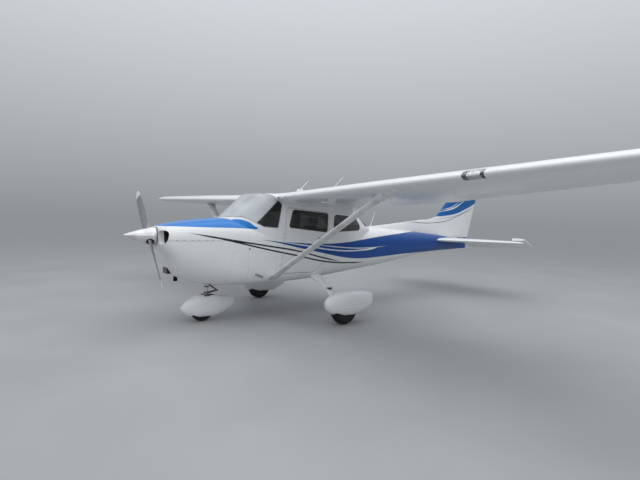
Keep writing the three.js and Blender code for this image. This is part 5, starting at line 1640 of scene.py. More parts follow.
def blade(grow=0):
    rings = []
    for radius in places(BLADE, 18):
        _, chord, thick, pitch = eased(BLADE, radius)
        turn = math.radians(pitch)
        ring = []
        for angle in turns(36):
            along = (chord / 2 + grow) * math.cos(angle)
            fullness = 0.62 + 0.38 * abs(math.sin(angle)) if abs(along) > chord * 0.3 else 1
            through = (thick / 2 + grow) * math.sin(angle) * fullness
            ring.append((-along * math.cos(turn) + through * math.sin(turn),
                         -along * math.sin(turn) - through * math.cos(turn), radius))
        rings.append(ring)
    return loft(rings)


def about_thrust(profile, steps=96):
    """Shape spun about the thrust line, from radius and place along it."""
    return turned(profile, SEAT_ON_THRUST @ FACING_AFT, steps)


def both_blades(grow=0):
    up = blade(grow)
    return moved(together(up, moved(up.copy(), Matrix.Rotation(math.pi, 4, "Y"))), SEAT_ON_THRUST)


def blade_sockets(radius, low, high):
    """Round sockets about both blades' axis, between two distances from the thrust line."""
    pair = [rod((0, 0, a), (0, 0, b), radius, sides=48) for a, b in ((low, high), (-high, -low))]
    return moved(together(*pair), SEAT_ON_THRUST)


def blade_finish():
    """Satin grey blades with white tips and small stone chips along the leading edge."""
    finish = Finish("blade_paint", Metallic=0.25, Coat_Weight=0.15, Coat_Roughness=0.2)
    middle = finish.node("ShaderNodeCombineXYZ")
    for socket, number in zip(middle.inputs, (0, THRUST_Y * MM, THRUST_Z * MM)):
        socket.default_value = number
    offset = finish.node("ShaderNodeVectorMath", operation="DISTANCE")
    finish.feed(offset.inputs[0], finish.at)
    finish.feed(offset.inputs[1], middle.outputs[0])
    radius = offset.outputs["Value"]
    tip = finish.over(radius, 0.845)
    chips = finish.times(finish.span(finish.noise(160, 4), 0.62, 0.7),
                         finish.span(radius, 0.3, 0.9, 0.2, 0.9))
    streak = finish.noise(22, 5)
    grey = finish.mix(finish.span(streak, 0.35, 0.7), (0.20, 0.205, 0.21, 1), (0.27, 0.275, 0.28, 1))
    colour = finish.mix(tip, grey, WHITE)
    finish.give("Base_Color", finish.mix(finish.times(chips, 0.6), colour, (0.07, 0.07, 0.07, 1)))
    finish.give("Roughness", finish.span(streak, 0.3, 0.7, 0.3, 0.45))
    finish.relief(finish.less(1, chips), 0.3, 0.6)
    return finish.material


def propeller():
    hub = about_thrust([(0, -HUB_HALF), (HUB_RADIUS - 4, -HUB_HALF), (HUB_RADIUS, -HUB_HALF + 4),
                        (HUB_RADIUS, HUB_HALF - 4), (HUB_RADIUS - 4, HUB_HALF), (0, HUB_HALF)], 64)
    blades = kept(both_blades(), rod(on_thrust(-120), on_thrust(120), 980, sides=64))
    piece("propeller_blades", joined(hub, blades), "propeller_and_spinner", blade_finish(),
          ["propeller"], crease=math.radians(50))
    dome = [(eased(SPINNER, place)[1], place) for place in places(SPINNER, 9)]
    inside = [(max(r - 3, 0), z + 4) for r, z in reversed(dome[1:-1])]
    shell = dome + [(134, 66), (131, 66), (130, 44)] + inside
    shell.append((0, dome[0][1] + 6))
    spinner = cut(about_thrust(shell), both_blades(5), blade_sockets(54, 60, 200))
    seals = kept(cut(blade_sockets(51, 98, 104), both_blades(1.5)),
                 about_thrust([(0, -200), (128, -200), (128, 44), (0, 44)]))
    piece("blade_boots", seals, "propeller_and_spinner", BAFFLE)
    bore = HUB_RADIUS + 2
    back = about_thrust([(bore, 46), (131, 46), (131, 49), (bore, 49), (bore, 46)])
    piece("spinner_dome", spinner, "propeller_and_spinner", SPINNER_WHITE, ["spinner"])
    piece("spinner_backplate", cut(back, both_blades(5)), "propeller_and_spinner", CAST)
    spots = []
    for angle in turns(10):
        angle += math.pi / 10
        out = (SEAT_ON_THRUST.to_3x3() @ Vector((math.cos(angle), 0, math.sin(angle)))).normalized()
        spots.append((Vector(on_thrust(30)) + out * 129.5, out))
    studs("spinner_screws", spots, "propeller_and_spinner", radius=4.5, dome=1.4)


propeller()


# Struts and main gear
STRUT = [
    (455, -2131, 618, 80, 20),
    (545, -2120, 672, 92, 42),
    (650, -2106, 735, 70, 31),
    (2290, -1887, 1713, 70, 31),
    (2420, -1870, 1790, 84, 42),
    (2560, -1852, 1876, 96, 70),
]
LEG = [
    (390, -1286, 646, 100, 40),
    (520, -1297, 606, 110, 40),
    (590, -1308, 585, 90, 27),
    (900, -1364, 481, 62, 21),
    (1100, -1440, 402, 46, 18),
    (1176, -1452, 366, 42, 17),
]
MAIN_RADIUS, MAIN_WIDTH, MAIN_X, MAIN_Y = 222.5, 156, 1280, -1358
NOSE_RADIUS, NOSE_WIDTH, NOSE_Y = 180, 126, -3040


def streamlined(rows, grow=0, step=40, pointed=0.25):
    """Streamlined bar across stations: x, y, z, half chord, half thickness; thinner towards the back."""
    rings = []
    for x in places(rows, step):
        _, y, z, chord, thick = eased(rows, x)
        ring = []
        for angle in turns(40):
            along = math.cos(angle)
            fullness = 1 - pointed * max(along, 0) ** 2
            ring.append((x, y + (chord + grow) * along, z + (thick + grow) * math.sin(angle) * fullness))
        rings.append(ring)
    return loft(rings)


def leg_sleeve(step, *sizes):
    """Cover round the leg, from places along it and how far it stands out at each."""
    rows = []
    for place, size in sizes:
        x, y, z, chord, thick = eased(LEG, place)
        rows.append((x, y, z, chord + size, thick + size))
    return cut(streamlined(rows, 0, step, 0.1), fuselage(GAP, low=-2500, high=0),
               streamlined(LEG, 0.3, pointed=0.1))


def strut_and_leg():
    blank = wing_loft([CENTRE_HALF_WIDTH + GAP] + spread(1900, 3000, 200), GAP)
    strut = cut(streamlined(STRUT), fuselage(GAP, low=-3000, high=-1000), blank)
    leg = cut(streamlined(LEG, pointed=0.1), fuselage(GAP, low=-2500, high=0))
    plate = prism("x", [(-1482, 350), (-1462, 379), (-1420, 382), (-1326, 236), (-1326, 202), (-1390, 202)],
                  1172, 1186, 10)
    axle = rod((1172, MAIN_Y, MAIN_RADIUS), (MAIN_X + 65, MAIN_Y, MAIN_RADIUS), 19, sides=32)
    leg = joined(leg, plate, axle)
    cuff = leg_sleeve(12, (488, 5), (520, 5), (560, 5), (600, 5), (628, 5))
    boot = leg_sleeve(10, (1090, 0.6), (1108, 7), (1140, 12))
    step_pad = step_plate()
    line = brake_line()
    for side, sign in SIDES:
        piece(f"strut_{side}", to_side(strut, sign), "airframe", STRUT_PAINT,
              [f"wing_strut_{side}"])
        piece(f"leg_spring_{side}", to_side(leg, sign), "airframe", PLAIN_WHITE,
              [f"gear_leg_{side}"])
        piece(f"leg_cuff_{side}", to_side(cuff, sign), "airframe", FAIRING)
        piece(f"leg_boot_{side}", to_side(boot, sign), "airframe", PLAIN_WHITE)
        piece(f"boarding_step_{side}", to_side(step_pad, sign), "airframe", PANEL_BLACK, bevel=2)
        piece(f"brake_line_{side}", to_side(line, sign), "airframe", PLAIN_WHITE)


def on_leg(x, up, along=0):
    _, y, z, chord, thick = eased(LEG, x)
    return Vector((x, y + chord * along, z + thick * up))


def step_plate():
    """Boarding step carried on the leg by a small arm."""
    middle = on_leg(955, 0.9, 0.1)
    pad = block(middle + Vector((-30, -40, 12)), middle + Vector((34, 46, 20)))
    arm = block(middle + Vector((-22, -12, -6)), middle + Vector((18, 12, 13)))
    return joined(pad, arm)


def brake_line():
    spots = [on_leg(x, 0.62, 0.78) + Vector((0, 1, 2)) for x in spread(600, 1165, 40)]
    return swept(spots, 3, 10)


def about_x(profile, x, y, z, steps=96):
    """Shape spun about X, from radius and place across."""
    return turned(profile, seat_at(x, y, z) @ Matrix.Rotation(math.pi / 2, 4, "Y"), steps)


def two_walls(wall, half, between=()):
    """Profile of a wheel part from one wall's rows of radius and share of its half width, and its mirror."""
    return ([(r, -share * half) for r, share in wall] + list(between)
            + [(r, share * half) for r, share in reversed(wall)])


def tyre_profile(radius, width):
    """Round tyre section with three grooves in its tread and a moulded rib on each wall."""
    half, rim = width / 2, radius * 0.42
    grooves = []
    for middle in (-0.34, 0, 0.34):
        for shift, depth in ((-0.055, 0), (-0.04, 5), (0.04, 5), (0.055, 0)):
            grooves.append((radius - depth - middle ** 2 * radius * 0.10, (middle + shift) * half))
    shares = [(0.50, 0.90), (0.60, 0.97), (0.68, 1.0), (0.76, 0.99), (0.765, 1.0), (0.785, 1.0),
              (0.79, 0.975), (0.87, 0.93), (0.925, 0.80), (0.958, 0.62)]
    wall = [(rim, 0.76)] + [(radius * up, share) for up, share in shares]
    bore = [(rim - 2, half * 0.6), (rim - 2, -half * 0.6), (rim, -half * 0.76)]
    return two_walls(wall, half, grooves) + bore


def hub_profile(radius, width, bore):
    rim = radius * 0.42 - 3
    wall = [(bore, 0.6), (bore + 16, 0.6), (bore + 20, 0.5), (rim - 14, 0.38), (rim - 10, 0.68),
            (rim - 3, 0.7), (rim, 0.66)]
    return two_walls(wall, width / 2) + [(bore, -width * 0.3)]


def wheel(name, side, body, place, radius, width, bore, brake=()):
    """Tyre and cast hub on their axle, with a brake disc where one is given."""
    tyre = about_x(tyre_profile(radius, width), *place, 128)
    piece(f"{name}_tyre{side}", tyre, body, TYRE, [f"tyre_{name}{side}"])
    hub = about_x(hub_profile(radius, width, bore), *place)
    piece(f"{name}_hub{side}", together(hub, *brake), body, CAST, [f"wheel_{name}{side}"])


def wheels():
    for side, sign in SIDES:
        place = (sign * MAIN_X, MAIN_Y, MAIN_RADIUS)
        low, high = -sign * 50, -sign * 46
        disc = about_x([(60, low), (82, low), (82, high), (60, high), (60, low)], *place)
        wheel("main", f"_{side}", f"main_wheel_{side}", place, MAIN_RADIUS, MAIN_WIDTH, 19.6, [disc])
    wheel("nose", "", "nose_wheel", (0, NOSE_Y, NOSE_RADIUS), NOSE_RADIUS, NOSE_WIDTH, 14.6)


MAIN_FAIRING = [
    (-1712, 22, 290, 345, 318, 2, 2),
    (-1685, 60, 236, 390, 312, 2.1, 2.1),
    (-1600, 100, 172, 440, 305, 2.3, 2.5),
    (-1430, 132, 130, 482, 300, 2.6, 3.2),
    (-1261, 140, 122, 494, 300, 2.7, 3.4),
    (-1080, 126, 136, 484, 300, 2.6, 3.0),
    (-930, 92, 180, 462, 306, 2.4, 2.6),
    (-815, 44, 232, 430, 322, 2.3, 2.3),
    (-780, 20, 248, 414, 328, 2.6, 2.6),
]
NOSE_FAIRING = [
    (-3362, 12, 184, 222, 203, 2, 2),
    (-3330, 44, 140, 266, 203, 2.1, 2.1),
    (-3235, 86, 80, 332, 204, 2.2, 2.6),
    (-3085, 114, 50, 386, 206, 2.5, 3.6),
    (-2920, 114, 48, 388, 210, 2.5, 3.6),
    (-2770, 98, 70, 376, 216, 2.4, 2.8),
    (-2640, 64, 122, 352, 230, 2.3, 2.4),
    (-2540, 24, 196, 320, 256, 2.6, 2.6),
]
SKIN_THICKNESS = 4


def fairing_shell(rows, radius, width, wheel_y):
    outer = body_loft(rows, 0, 80, 14)
    inner = lining(body_loft(rows, -SKIN_THICKNESS, 80, 14))
    half, mouth = width / 2 + 14, radius + 12
    front, back, top = wheel_y - mouth, wheel_y + mouth, radius * 0.9
    opening = prism("x", [(front, -60), (back, -60), (back, top), (front, top)], -half, half, 40)
    plan = [(-half, front), (half, front), (half, back), (-half, back)]
    opening = kept(opening, prism("z", plan, -80, radius, half * 0.86, 12))
    return cut(outer, inner, opening)


def fairings():
    shell = fairing_shell(MAIN_FAIRING, MAIN_RADIUS, MAIN_WIDTH, MAIN_Y)
    shell = cut(moved(shell, seat_at(MAIN_X, 0, 0)), streamlined(LEG, GAP + 1, pointed=0.1))
    for side, sign in SIDES:
        piece(f"wheel_fairing_{side}", to_side(shell, sign), "airframe", FAIRING,
              [f"main_fairing_{side}"], inner=BAFFLE)


STEER_LOW, STEER_HIGH = Vector((0, -3006, 180)), Vector((0, -2935, 860))
STEER_UP = (STEER_HIGH - STEER_LOW).normalized()
PISTON = 22
FORK_INNER, FORK_OUTER = 69, 81


def on_steer(z):
    return STEER_LOW + STEER_UP * ((z - STEER_LOW.z) / STEER_UP.z)


def about_steer(profile, z, steps=48):
    """Shape spun about the steering line, from radius and height above one level."""
    return turned(profile, seat_at(*on_steer(z)) @ facing(STEER_UP), steps)


def nose_gear():
    housing = about_steer([(22.6, 0), (31, 0), (33, 3), (36, 12), (36, 60), (34, 64), (34, 300), (0, 300),
                           (0, 130), (22.6, 126), (22.6, 0)], 520)
    mount = kept(block((-30, -2950, 770), (30, -2700, 830)), ahead_of_firewall(-GAP))
    piece("nose_strut_barrel", together(housing, mount), "airframe", STRUT_PAINT,
          ["nose_strut_housing"])
    shell = fairing_shell(NOSE_FAIRING, NOSE_RADIUS, NOSE_WIDTH, NOSE_Y)
    shell = cut(shell, rod(on_steer(340), on_steer(700), 36, sides=40),
                block((-60, -2955, 350), (60, -2880, 460)),
                block((-FORK_OUTER - 1, -3033, 340), (FORK_OUTER + 1, -2949, 396)))
    piece("nose_wheel_fairing", shell, "nose_steering", NOSE_BOOT, ["nose_fairing"],
          inner=BAFFLE)
    arm = prism("x", [(-3064, 168), (-3040, 158), (-3014, 176), (-2958, 380), (-3026, 380), (-3062, 200)],
                FORK_INNER, FORK_OUTER, 12)
    crown = block((-FORK_OUTER, -3032, 367), (FORK_OUTER, -2950, 394))
    axle = rod((-FORK_OUTER, NOSE_Y, NOSE_RADIUS), (FORK_OUTER, NOSE_Y, NOSE_RADIUS), 14, sides=28)
    forging = together(crown, both_sides(arm), axle)
    piece("nose_fork_forging", forging, "nose_steering", FORGED, bevel=3)
    piston = about_steer([(0, 0), (PISTON, 0), (PISTON, 239), (0, 239)], 392, 64)
    piece("nose_piston", piston, "nose_steering", CHROME, ["nose_fork"])
    lower = about_steer([(22.3, 0), (30, 0), (34, 3), (34, 20), (30, 23), (22.3, 23), (22.3, 0)], 405)
    upper = about_steer([(22.3, 0), (31, 0), (34, 3), (34, 15), (31, 18), (22.3, 18), (22.3, 0)], 498)
    piece("nose_collars", together(lower, upper), "nose_steering", FORGED)
    piece("nose_torque_links", together(*torque_links()), "nose_steering", FORGED, bevel=1.5)
    steering_rods()


def torque_links():
    """Lower and upper scissor arms, each of two plates tied by a web, with a bolt at each joint."""
    low, knee, high = Vector((0, -2946, 414)), Vector((0, -2806, 440)), Vector((0, -2920, 522))
    parts = []
    for start in (low, high):
        parts.append(both_sides(tapered_bar(start + Vector((26, 0, 0)), knee + Vector((12, 0, 0)), 11, 8, 5)))
        ends = start.lerp(knee, 0.35), start.lerp(knee, 0.5)
        parts.append(block((-22, min(p.y for p in ends), min(p.z for p in ends)),
                           (22, max(p.y for p in ends), max(p.z for p in ends) + 4)))
    for centre, half in ((low, 36), (knee, 20), (high, 36)):
        parts.append(rod(centre - Vector((half, 0, 0)), centre + Vector((half, 0, 0)), 7, sides=20))
        parts.append(both_sides(rod(centre + Vector((half - 4, 0, 0)), centre + Vector((half + 5, 0, 0)), 11,
                                    sides=6)))
    return parts


def tapered_bar(start, end, start_half, end_half, thick):
    along = (end - start).normalized()
    up = along.cross(Vector((1, 0, 0))).normalized()
    side = along.cross(up) * thick / 2
    ends = (start - along * start_half, start_half), (end + along * end_half, end_half)
    return loft([[place + up * half * a + side * b for a, b in ((1, 1), (-1, 1), (-1, -1), (1, -1))]
                 for place, half in ends])


def steering_rods():
    """Push rods from the firewall down to the upper collar."""
    rods = [rod((44, -2950, 628), (92, -2870, 690), 6, sides=14),
            rod((44, -2950, 628), (36, -2956, 620), 9, sides=14)]
    piece("steering_rods", both_sides(*rods), "airframe", STEEL)


strut_and_leg()
wheels()
fairings()
nose_gear()


# Cabin: floor, panel and controls
PANEL = [(-2560, 1415), (-2250, 1432), (-2235, 1405), (-2300, 1360), (-2292, 1060), (-2420, 1060),
         (-2440, 1340)]
PANEL_FACE = -2291
YOKE_X = 235
STRAP_HALF = 1.4


def disc(x, z, radius, depth=3, sides=40):
    """Flat round part facing the seats."""
    return rod((x, PANEL_FACE, z), (x, PANEL_FACE + depth, z), radius, sides=sides)


def bezel(x, z, radius):
    return turned([(radius - 5, 1), (radius - 4, 6), (radius, 7), (radius + 3, 5), (radius + 3, 0),
                   (radius - 5, 0), (radius - 5, 1)], seat_at(x, PANEL_FACE, z) @ FACING_AFT, 40)


def dial_finish():
    """Dial faces: black, with white marks round each one and a pointer."""
    finish = Finish("dial_faces", Roughness=0.3)
    across_dial = finish.nearest(finish.x, 0.095)
    up_dial = finish.nearest(finish.z, 0.095, 1.2125)
    far = finish.far(across_dial, up_dial)
    ring = finish.times(finish.over(far, 0.026), finish.under(far, 0.031))
    turn = finish.maths("ARCTAN2", up_dial, across_dial)
    marks = finish.times(ring, finish.over(finish.maths("SINE", finish.times(turn, 36)), 0.35))
    off_pointer = finish.size(finish.less(up_dial, finish.times(across_dial, 0.7)))
    pointer = finish.times(finish.under(off_pointer, 0.0016), finish.under(far, 0.024))
    cloud = finish.noise(40, 3)
    base = finish.mix(finish.span(cloud, 0.3, 0.7), (0.008, 0.008, 0.009, 1), (0.02, 0.02, 0.022, 1))
    finish.give("Base_Color", finish.mix(finish.most(marks, pointer), base, (0.75, 0.75, 0.72, 1)))
    finish.relief(marks, 0.2, 0.5)
    return finish.material


def cabin_floor():
    slab = prism("x", [(-2800, 540), (-1000, 540), (200, 600), (200, 735), (-300, 700), (-1000, 650),
                       (-2780, 612)], -600, 600)
    piece("carpet", kept(cabin_hollow(0.6), slab), "airframe", CARPET)


def instrument_panel():
    room = cabin_hollow(0.6)
    face = kept(prism("x", PANEL, -480, 480, 12), room)
    lip = kept(swept([(x, -2246, 1427) for x in spread(-440, 440, 40)], 11, 14), room)
    piece("panel_body", together(face, lip), "airframe", PANEL_BLACK, ["instrument_panel"])
    dials = [(x, z, 39) for x in (380, 285, 190) for z in (1165, 1260)]
    dials += [(x, 1250, 26) for x in (-375, -310)]
    piece("dial_discs", together(*[disc(*dial) for dial in dials]), "airframe", dial_finish())
    rims = [bezel(x, z, radius + 1) for x, z, radius in dials]
    piece("dial_rims", together(*rims), "airframe", PANEL_BLACK)
    stack = [block((-78, PANEL_FACE - 2, z), (78, PANEL_FACE + 9, z + 40)) for z in spread(1085, 1310, 45)]
    piece("radio_stack", together(*stack), "airframe", PANEL_BLACK, bevel=2)
    screens = [block((-46, PANEL_FACE + 8, z + 12), (34, PANEL_FACE + 10.5, z + 32))
               for z in (1130, 1220, 1265)]
    piece("radio_windows", together(*screens), "airframe", LAMP)
    knobs = [disc(x, z, 8, 22, sides=20) for z in spread(1105, 1330, 45) for x in (-62, 56)]
    knobs += [block((x - 4, PANEL_FACE, 1082), (x + 4, PANEL_FACE + 14, 1100)) for x in spread(110, 330, 22)]
    piece("panel_knobs", together(*knobs), "airframe", PANEL_BLACK, bevel=1.2)
    levers = [rod((-30, PANEL_FACE - 4, 1075), (-30, -2215, 1078), 4, sides=14),
              rod((20, PANEL_FACE - 4, 1075), (20, -2235, 1078), 4, sides=14),
              rod((-30, -2218, 1078), (-30, -2200, 1078), 16, sides=24)]
    piece("engine_levers", together(*levers), "airframe", STEEL)
    knob = turned([(0, 0), (10, 0), (15, 5), (15, 13), (10, 18), (0, 18)],
                  seat_at(20, -2238, 1078) @ FACING_AFT, 24)
    piece("mixture_knob", knob, "airframe", RED)


def smoothed(points, cuts):
    """Points along a soft line led by given ones."""
    points = [Vector(p) for p in points]
    fine = [a.lerp(b, t / cuts) for a, b in zip(points, points[1:]) for t in range(cuts)] + [points[-1]]
    for _ in range(3):
        fine = [fine[0]] + [(a + b * 2 + c) / 4 for a, b, c in zip(fine, fine[1:], fine[2:])] + [fine[-1]]
    return fine


HORN = [(118, -2142, 1292), (122, -2140, 1262), (118, -2139, 1222), (92, -2140, 1201), (50, -2142, 1204)]


def yokes():
    """Control wheels: a column from the panel and a horned grip."""
    parts, shafts = [], []
    for x in (YOKE_X, -YOKE_X):
        shafts.append(rod((x, -2310, 1205), (x, -2142, 1223.5), 12, sides=28))
        grip = smoothed([(x - out, y, z) for out, y, z in HORN] + [(x, -2142, 1214)]
                        + [(x + out, y, z) for out, y, z in reversed(HORN)], 4)
        parts.append(swept(grip, [13 if abs(p.x - x) > 100 else 10 for p in grip], 16))
        parts.append(block((x - 34, -2156, 1196), (x + 34, -2128, 1238)))
    piece("yoke_grips", together(*parts), "airframe", PANEL_BLACK, bevel=4)
    piece("yoke_shafts", together(*shafts), "airframe", CHROME)


def pedals():
    parts = []
    for x in (310, 190, -190, -310):
        parts.append(block((x - 38, -2562, 690), (x + 38, -2550, 780)))
        parts.append(rod((x, -2556, 620), (x, -2556, 700), 7, sides=14))
    parts.append(rod((-360, -2556, 628), (360, -2556, 628), 9, sides=16))
    piece("rudder_pedals", together(*parts), "airframe", STEEL, bevel=2)


# Seats, swollen by a cloth simulation
SIM_FRAMES, PAD_VOXEL, PAD_PRESSURE = 20, 0.006, 4.0


def swell(obj, cap):
    """Let the cover fill out under inner pressure, each point moving no more than the cap."""
    start = [v.co.copy() for v in obj.data.vertices]
    cloth = obj.modifiers.new("cover", "CLOTH")
    cloth.settings.use_pressure = True
    cloth.settings.uniform_pressure_force = PAD_PRESSURE
    cloth.settings.quality = 5
    cloth.settings.effector_weights.gravity = 0
    cloth.point_cache.frame_start = 1
    cloth.point_cache.frame_end = SIM_FRAMES
    scene = bpy.context.scene
    for number in range(1, SIM_FRAMES + 1):
        scene.frame_set(number)
    puffed = obj.evaluated_get(bpy.context.evaluated_depsgraph_get()).to_mesh()
    shifts = [vert.co - before for before, vert in zip(start, puffed.vertices)]
    obj.modifiers.remove(cloth)
    for vert, before, shift in zip(obj.data.vertices, start, shifts):
        vert.co = before + (shift.normalized() * cap if shift.length > cap else shift)
    scene.frame_set(1)


def pad(name, bm, channels, fill, replaces=(), cap=16):
    """Cushion from a closed shape in metres; channels gives how deep each point is sewn in."""
    mesh = bpy.data.meshes.new(name)
    bm.to_mesh(mesh)
    obj = linked(name, mesh)
    remesh = obj.modifiers.new("remesh", "REMESH")
    remesh.mode = "VOXEL"
    remesh.voxel_size = PAD_VOXEL
    shaped = bpy.data.meshes.new_from_object(obj.evaluated_get(bpy.context.evaluated_depsgraph_get()))
    obj.modifiers.remove(remesh)
    obj.data = shaped
    bpy.data.meshes.remove(mesh)
    shaped.name = name
    swell(obj, cap * MM)
    normals = [v.normal.copy() for v in shaped.vertices]
    for vert, normal in zip(shaped.vertices, normals):
        depth = channels(vert.co / MM)
        if depth:
            vert.co -= normal * depth * MM
    for poly in shaped.polygons:
        poly.use_smooth = True
    shaped.materials.clear()
    shaped.materials.append(CLOTH)
    smooth = obj.modifiers.new("smooth", "SUBSURF")
    smooth.levels = smooth.render_levels = 1
    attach(obj, "airframe")
    if replaces:
        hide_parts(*replaces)


def dent(distance, width, depth):
    return depth * math.exp(-(distance / width) ** 2)


def on_top(level):
    """Place along a cushion, for the points that lie above a level."""
    return lambda p: p.y if p.z >= level else None


def seams(aside, lines, line_depth, edge, along, rows, row_depth):
    """How deep a cushion is sewn in: lines aside of its middle, and rows that end at an edge."""
    def depth(p):
        x, run = aside(p), along(p)
        if run is None:
            return 0
        cross = sum(dent(run - row, 6, row_depth) for row in rows) if x < edge else 0
        return max(cross, *[dent(x - line, 7, line_depth) for line in lines])
    return depth


def soft_block(half_x, half_y, half_z, place, turn=0.0, power=5.0, top_narrow=0.0):
    """Rounded block turned about X, for a cushion."""
    bm = bmesh.new()
    bmesh.ops.create_cube(bm, size=2)
    bmesh.ops.subdivide_edges(bm, edges=bm.edges, cuts=14, use_grid_fill=True)
    for vert in bm.verts:
        p = vert.co
        size = (abs(p.x) ** power + abs(p.y) ** power + abs(p.z) ** power) ** (1 / power)
        p /= max(size, 1e-6)
        narrow = 1 - top_narrow * (p.y + 1) / 2
        vert.co = Vector((p.x * half_x * narrow, p.y * half_y, p.z * half_z))
    return moved(bm, seat_at(*place) @ Matrix.Rotation(turn, 4, "X") @ Matrix.Scale(MM, 4))


SEAT_X, SEAT_HALF = 260, 196
BACK_LOW, BACK_HIGH = Vector((0, -1362, 968)), Vector((0, -1246, 1462))


def front_seats():
    up = (BACK_HIGH - BACK_LOW).normalized()
    lean = math.atan2(up.z, up.y)
    middle = (BACK_LOW + BACK_HIGH) / 2
    reach = (BACK_HIGH - BACK_LOW).length / 2
    aside = lambda p: abs(abs(p.x) - SEAT_X)
    cushion_seams = seams(aside, [118], 9, 118, on_top(900), (-1730, -1640, -1550), 7)
    back_seams = seams(aside, [112], 8, 112, lambda p: (p - BACK_LOW).dot(up), (110, 210, 310, 410), 7)
    for side, sign in SIDES:
        x = SEAT_X * sign
        pad(f"seat_cushion_{side}", soft_block(SEAT_HALF, 196, 44, (x, -1622, 926), math.radians(-3.5)),
            cushion_seams, 0.55, [f"seat_front_{side}"])
        back = soft_block(SEAT_HALF, reach, 46, (x, middle.y, middle.z), lean, top_narrow=0.14)
        pad(f"seat_back_{side}", back, back_seams, 0.5)
        rest = soft_block(124, 60, 34, (x, -1207, 1532), lean, 3.5)
        pad(f"head_rest_{side}", rest, lambda p: 0, 0.6, cap=9)
        tops = [BACK_HIGH + Vector((x + end * 48, 0, 0)) for end in (-1, 1)]
        posts = [rod(top - up * 40, top + up * 62, 6, sides=16) for top in tops]
        piece(f"head_rest_posts_{side}", together(*posts), "airframe", CHROME)
        stand = [block((x - 175, -1770, 846), (x + 175, -1440, 872))]
        for leg_x in (x - 150, x + 150):
            for leg_y in (-1740, -1470):
                stand.append(rod((leg_x, leg_y, 640), (leg_x, leg_y + 12, 850), 11, sides=20))
            stand.append(block((leg_x - 14, -1860, 622), (leg_x + 14, -1330, 640)))
            stand.append(rod((leg_x, -1740, 700), (leg_x, -1470, 820), 8, sides=16))
        piece(f"seat_frame_{side}", together(*stand), "airframe", STEEL, bevel=2)
        shell = block((x - 178, -1420, 880), (x + 178, -1400, 900))
        piece(f"seat_hinge_{side}", shell, "airframe", PANEL_BLACK, bevel=4)


def rear_seat():
    low, high = Vector((0, -560, 960)), Vector((0, -462, 1370))
    up = (high - low).normalized()
    aside = lambda p: abs(p.x)
    cushion_seams = seams(aside, [0, 330], 9, 325, on_top(880), (-880, -800, -720), 6)
    back_seams = seams(aside, [0, 300], 9, 295, lambda p: (p - low).dot(up), (90, 190, 290), 6)
    pad("rear_cushion", soft_block(400, 176, 48, (0, -792, 884), math.radians(-3.5), 6), cushion_seams, 0.5,
        ["seat_rear"])
    lean = math.atan2(up.z, up.y)
    pad("rear_back", soft_block(392, 215, 42, (low + high) / 2, lean, 6), back_seams, 0.5)
    base = prism("x", [(-950, 640), (-600, 640), (-590, 830), (-945, 832)], -380, 380, 12)
    piece("rear_seat_box", kept(base, cabin_hollow(2)), "airframe", TRIM, bevel=3)


def belts():
    """Lap and shoulder straps laid on the front seats."""
    for side, sign in SIDES:
        middle, straps = SEAT_X * sign, []
        for end in (-1, 1):
            x = middle + end * 150
            straps.append(ribbon([(x, -1420, 900), (x, -1455, 960), (x - end * 40, -1500, 992),
                                  (x - end * 100, -1540, 996), (x - end * 140, -1570, 994)], 24))
        x = middle + sign * 150
        straps.append(ribbon([(x, -1250, 1560), (x, -1272, 1480), (x, -1337, 1300),
                              (x - sign * 2, -1394, 1080)], 24))
        piece(f"belt_{side}", together(*straps), "airframe", WEBBING)
        buckle = block((middle - 26, -1592, 984), (middle + 26, -1552, 1002))
        piece(f"belt_buckle_{side}", buckle, "airframe", CHROME, bevel=4)


def ribbon(path, half):
    """Flat strap along points, its width along Y and X as it runs."""
    fine = smoothed(path, 5)
    rings = []
    for i, here in enumerate(fine):
        along = (fine[min(i + 1, len(fine) - 1)] - fine[max(i - 1, 0)]).normalized()
        up = Vector((0, -0.35, 1)) if abs(along.z) < 0.8 else Vector((0, -1, 0.2))
        wide = along.cross(up).normalized() * half
        out = wide.cross(along).normalized() * STRAP_HALF
        rings.append([here + wide + out, here - wide + out, here - wide - out, here + wide - out])
    return loft(rings)


RED = moulded_finish("lens_red", (0.42, 0.015, 0.012, 1), 0.3, 60, 0.05)
cabin_floor()
instrument_panel()
yokes()
pedals()
front_seats()
rear_seat()
belts()


# Small fittings outside
def patch(name, corners, body, material, low, high, rise=1.2, radius=6):
    """Thin plate that follows the body's side inside an outline."""
    sheet = cut(cabin_outer(rise), cabin_outer(0.15))
    return piece(name, kept(sheet, across(corners, 0, radius, low, high)), body, material)


VENT_GREY = moulded_finish("vent_grey", (0.30, 0.31, 0.32, 1), 0.5)


def beacon():
    seat = seat_at(0, 3330, 2446.3)
    lens = turned([(0, 9), (30, 9), (31, 24), (26, 58), (15, 78), (0, 84)], seat, 40)
    base = turned([(0, 0), (34, 0), (34, 7), (31, 9), (0, 9)], seat, 40)
    piece("beacon_lens", lens, "airframe", RED, ["beacon"])
    piece("beacon_base", base, "airframe", CAST)


def pitot():
    mast = []
    for z, front, back, half in ((1772, -1874, -1848, 4), (1782, -1877, -1846, 6), (1830, -1880, -1844, 6),
                                 (1880, -1884, -1841, 6)):
        middle, reach = (front + back) / 2, (back - front) / 2
        mast.append([(1500 + half * math.sin(a), middle - reach * math.cos(a), z) for a in turns(28)])
    mast = cut(loft(mast), wing_loft([1400, 1600], 0))
    tube = rod((1500, -1986, 1776), (1500, -1852, 1776), 8.6, sides=28)
    tube = cut(joined(tube, rod((1500, -1994, 1776), (1500, -1984, 1776), 4.5, 8.6, 28)),
               rod((1500, -2000, 1776), (1500, -1980, 1776), 3, sides=20))
    piece("pitot_mast", joined(mast, tube), "airframe", PLAIN_WHITE, ["pitot_tube"])


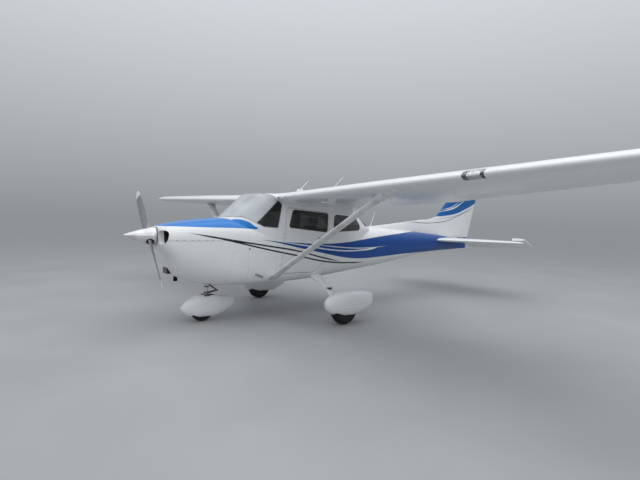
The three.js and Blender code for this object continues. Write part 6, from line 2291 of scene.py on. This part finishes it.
def whip(name, foot, tip, foot_half, foot_height, node):
    """Rod aerial on a streamlined foot."""
    x, y, z = foot
    rings = []
    for up, size in ((-12, 1.0), (foot_height * 0.55, 0.96), (foot_height * 0.85, 0.84), (foot_height, 0.6)):
        rings.append([(x + foot_half[0] * size * math.sin(a), y - foot_half[1] * size * math.cos(a), z + up)
                      for a in turns(32)])
    root = Vector((x, y, z + foot_height - 6))
    post = rod(root, tip, 6.5, 3.6, 20)
    ferrule = rod(root - Vector((0, 0, 2)), root.lerp(Vector(tip), 0.09), 8.5, 7, 24)
    mast = together(joined(loft(rings), ferrule), post)
    piece(name, mast, "airframe", PLAIN_WHITE, [node])


def root_top(y):
    return wing_point(WING[0], (y - WING_LEAD_Y) / WING[0][2], 1).z


def outside_fittings():
    beacon()
    pitot()
    whip("aerial_whip_tail", (0, 388, 1450), (0, 500, 1735), (14, 22), 14, "aerial_tail")
    z = root_top(-1512)
    whip("aerial_whip_front", (300, -1512, z), (300, -1358, 2184), (15, 80), 2038 - z, "aerial_front")
    z = root_top(-1040)
    whip("aerial_whip_rear", (300, -1040, z), (300, -608, 2304), (14, 34), 12, "aerial_rear")
    ports = [on_side(-2534, 1092, side) for side in (1, -1)]
    studs("static_ports", ports, "airframe", BAFFLE, 12, 1)
    for side, sign in SIDES:
        low, high = SIDE_REACH[sign]
        vent = [(-2435, 735), (-2292, 680), (-2292, 640), (-2435, 690)]
        patch(f"side_vent_{side}", vent, "airframe", VENT_GREY, low, high, 1.4, 5)
        leaf = f"door_leaf_{side}"
        plate = [(-1290, 1262), (-1150, 1262), (-1150, 1218), (-1290, 1218)]
        patch(f"handle_plate_{side}", plate, leaf, CAST, low, high, 1.6, 12)
        spot = side_x(-1220, 1240)
        grip = block((spot - 3, -1276, 1232), (spot + 9, -1182, 1248))
        piece(f"door_handle_{side}", to_side(grip, sign), leaf, CHROME, bevel=4)
        inner = side_x(-1500, 1000) - CABIN_WALL
        rest = block((inner - 44, -1690, 992), (inner + 4, -1370, 1034))
        pull = swept([(inner + 2, -1650, 1160), (inner - 30, -1640, 1160), (inner - 34, -1600, 1160),
                      (inner - 34, -1540, 1160), (inner - 30, -1500, 1160), (inner + 2, -1490, 1160)], 8, 16)
        latch = rod((inner + 2, -1225, 1205), (inner - 14, -1225, 1205), 24, sides=32)
        lever = block((inner - 24, -1330, 1194), (inner - 12, -1215, 1216))
        inside = [rest, pull, latch, lever]
        piece(f"door_armrest_{side}", to_side(together(*inside), sign), leaf, PANEL_BLACK, bevel=5)


outside_fittings()
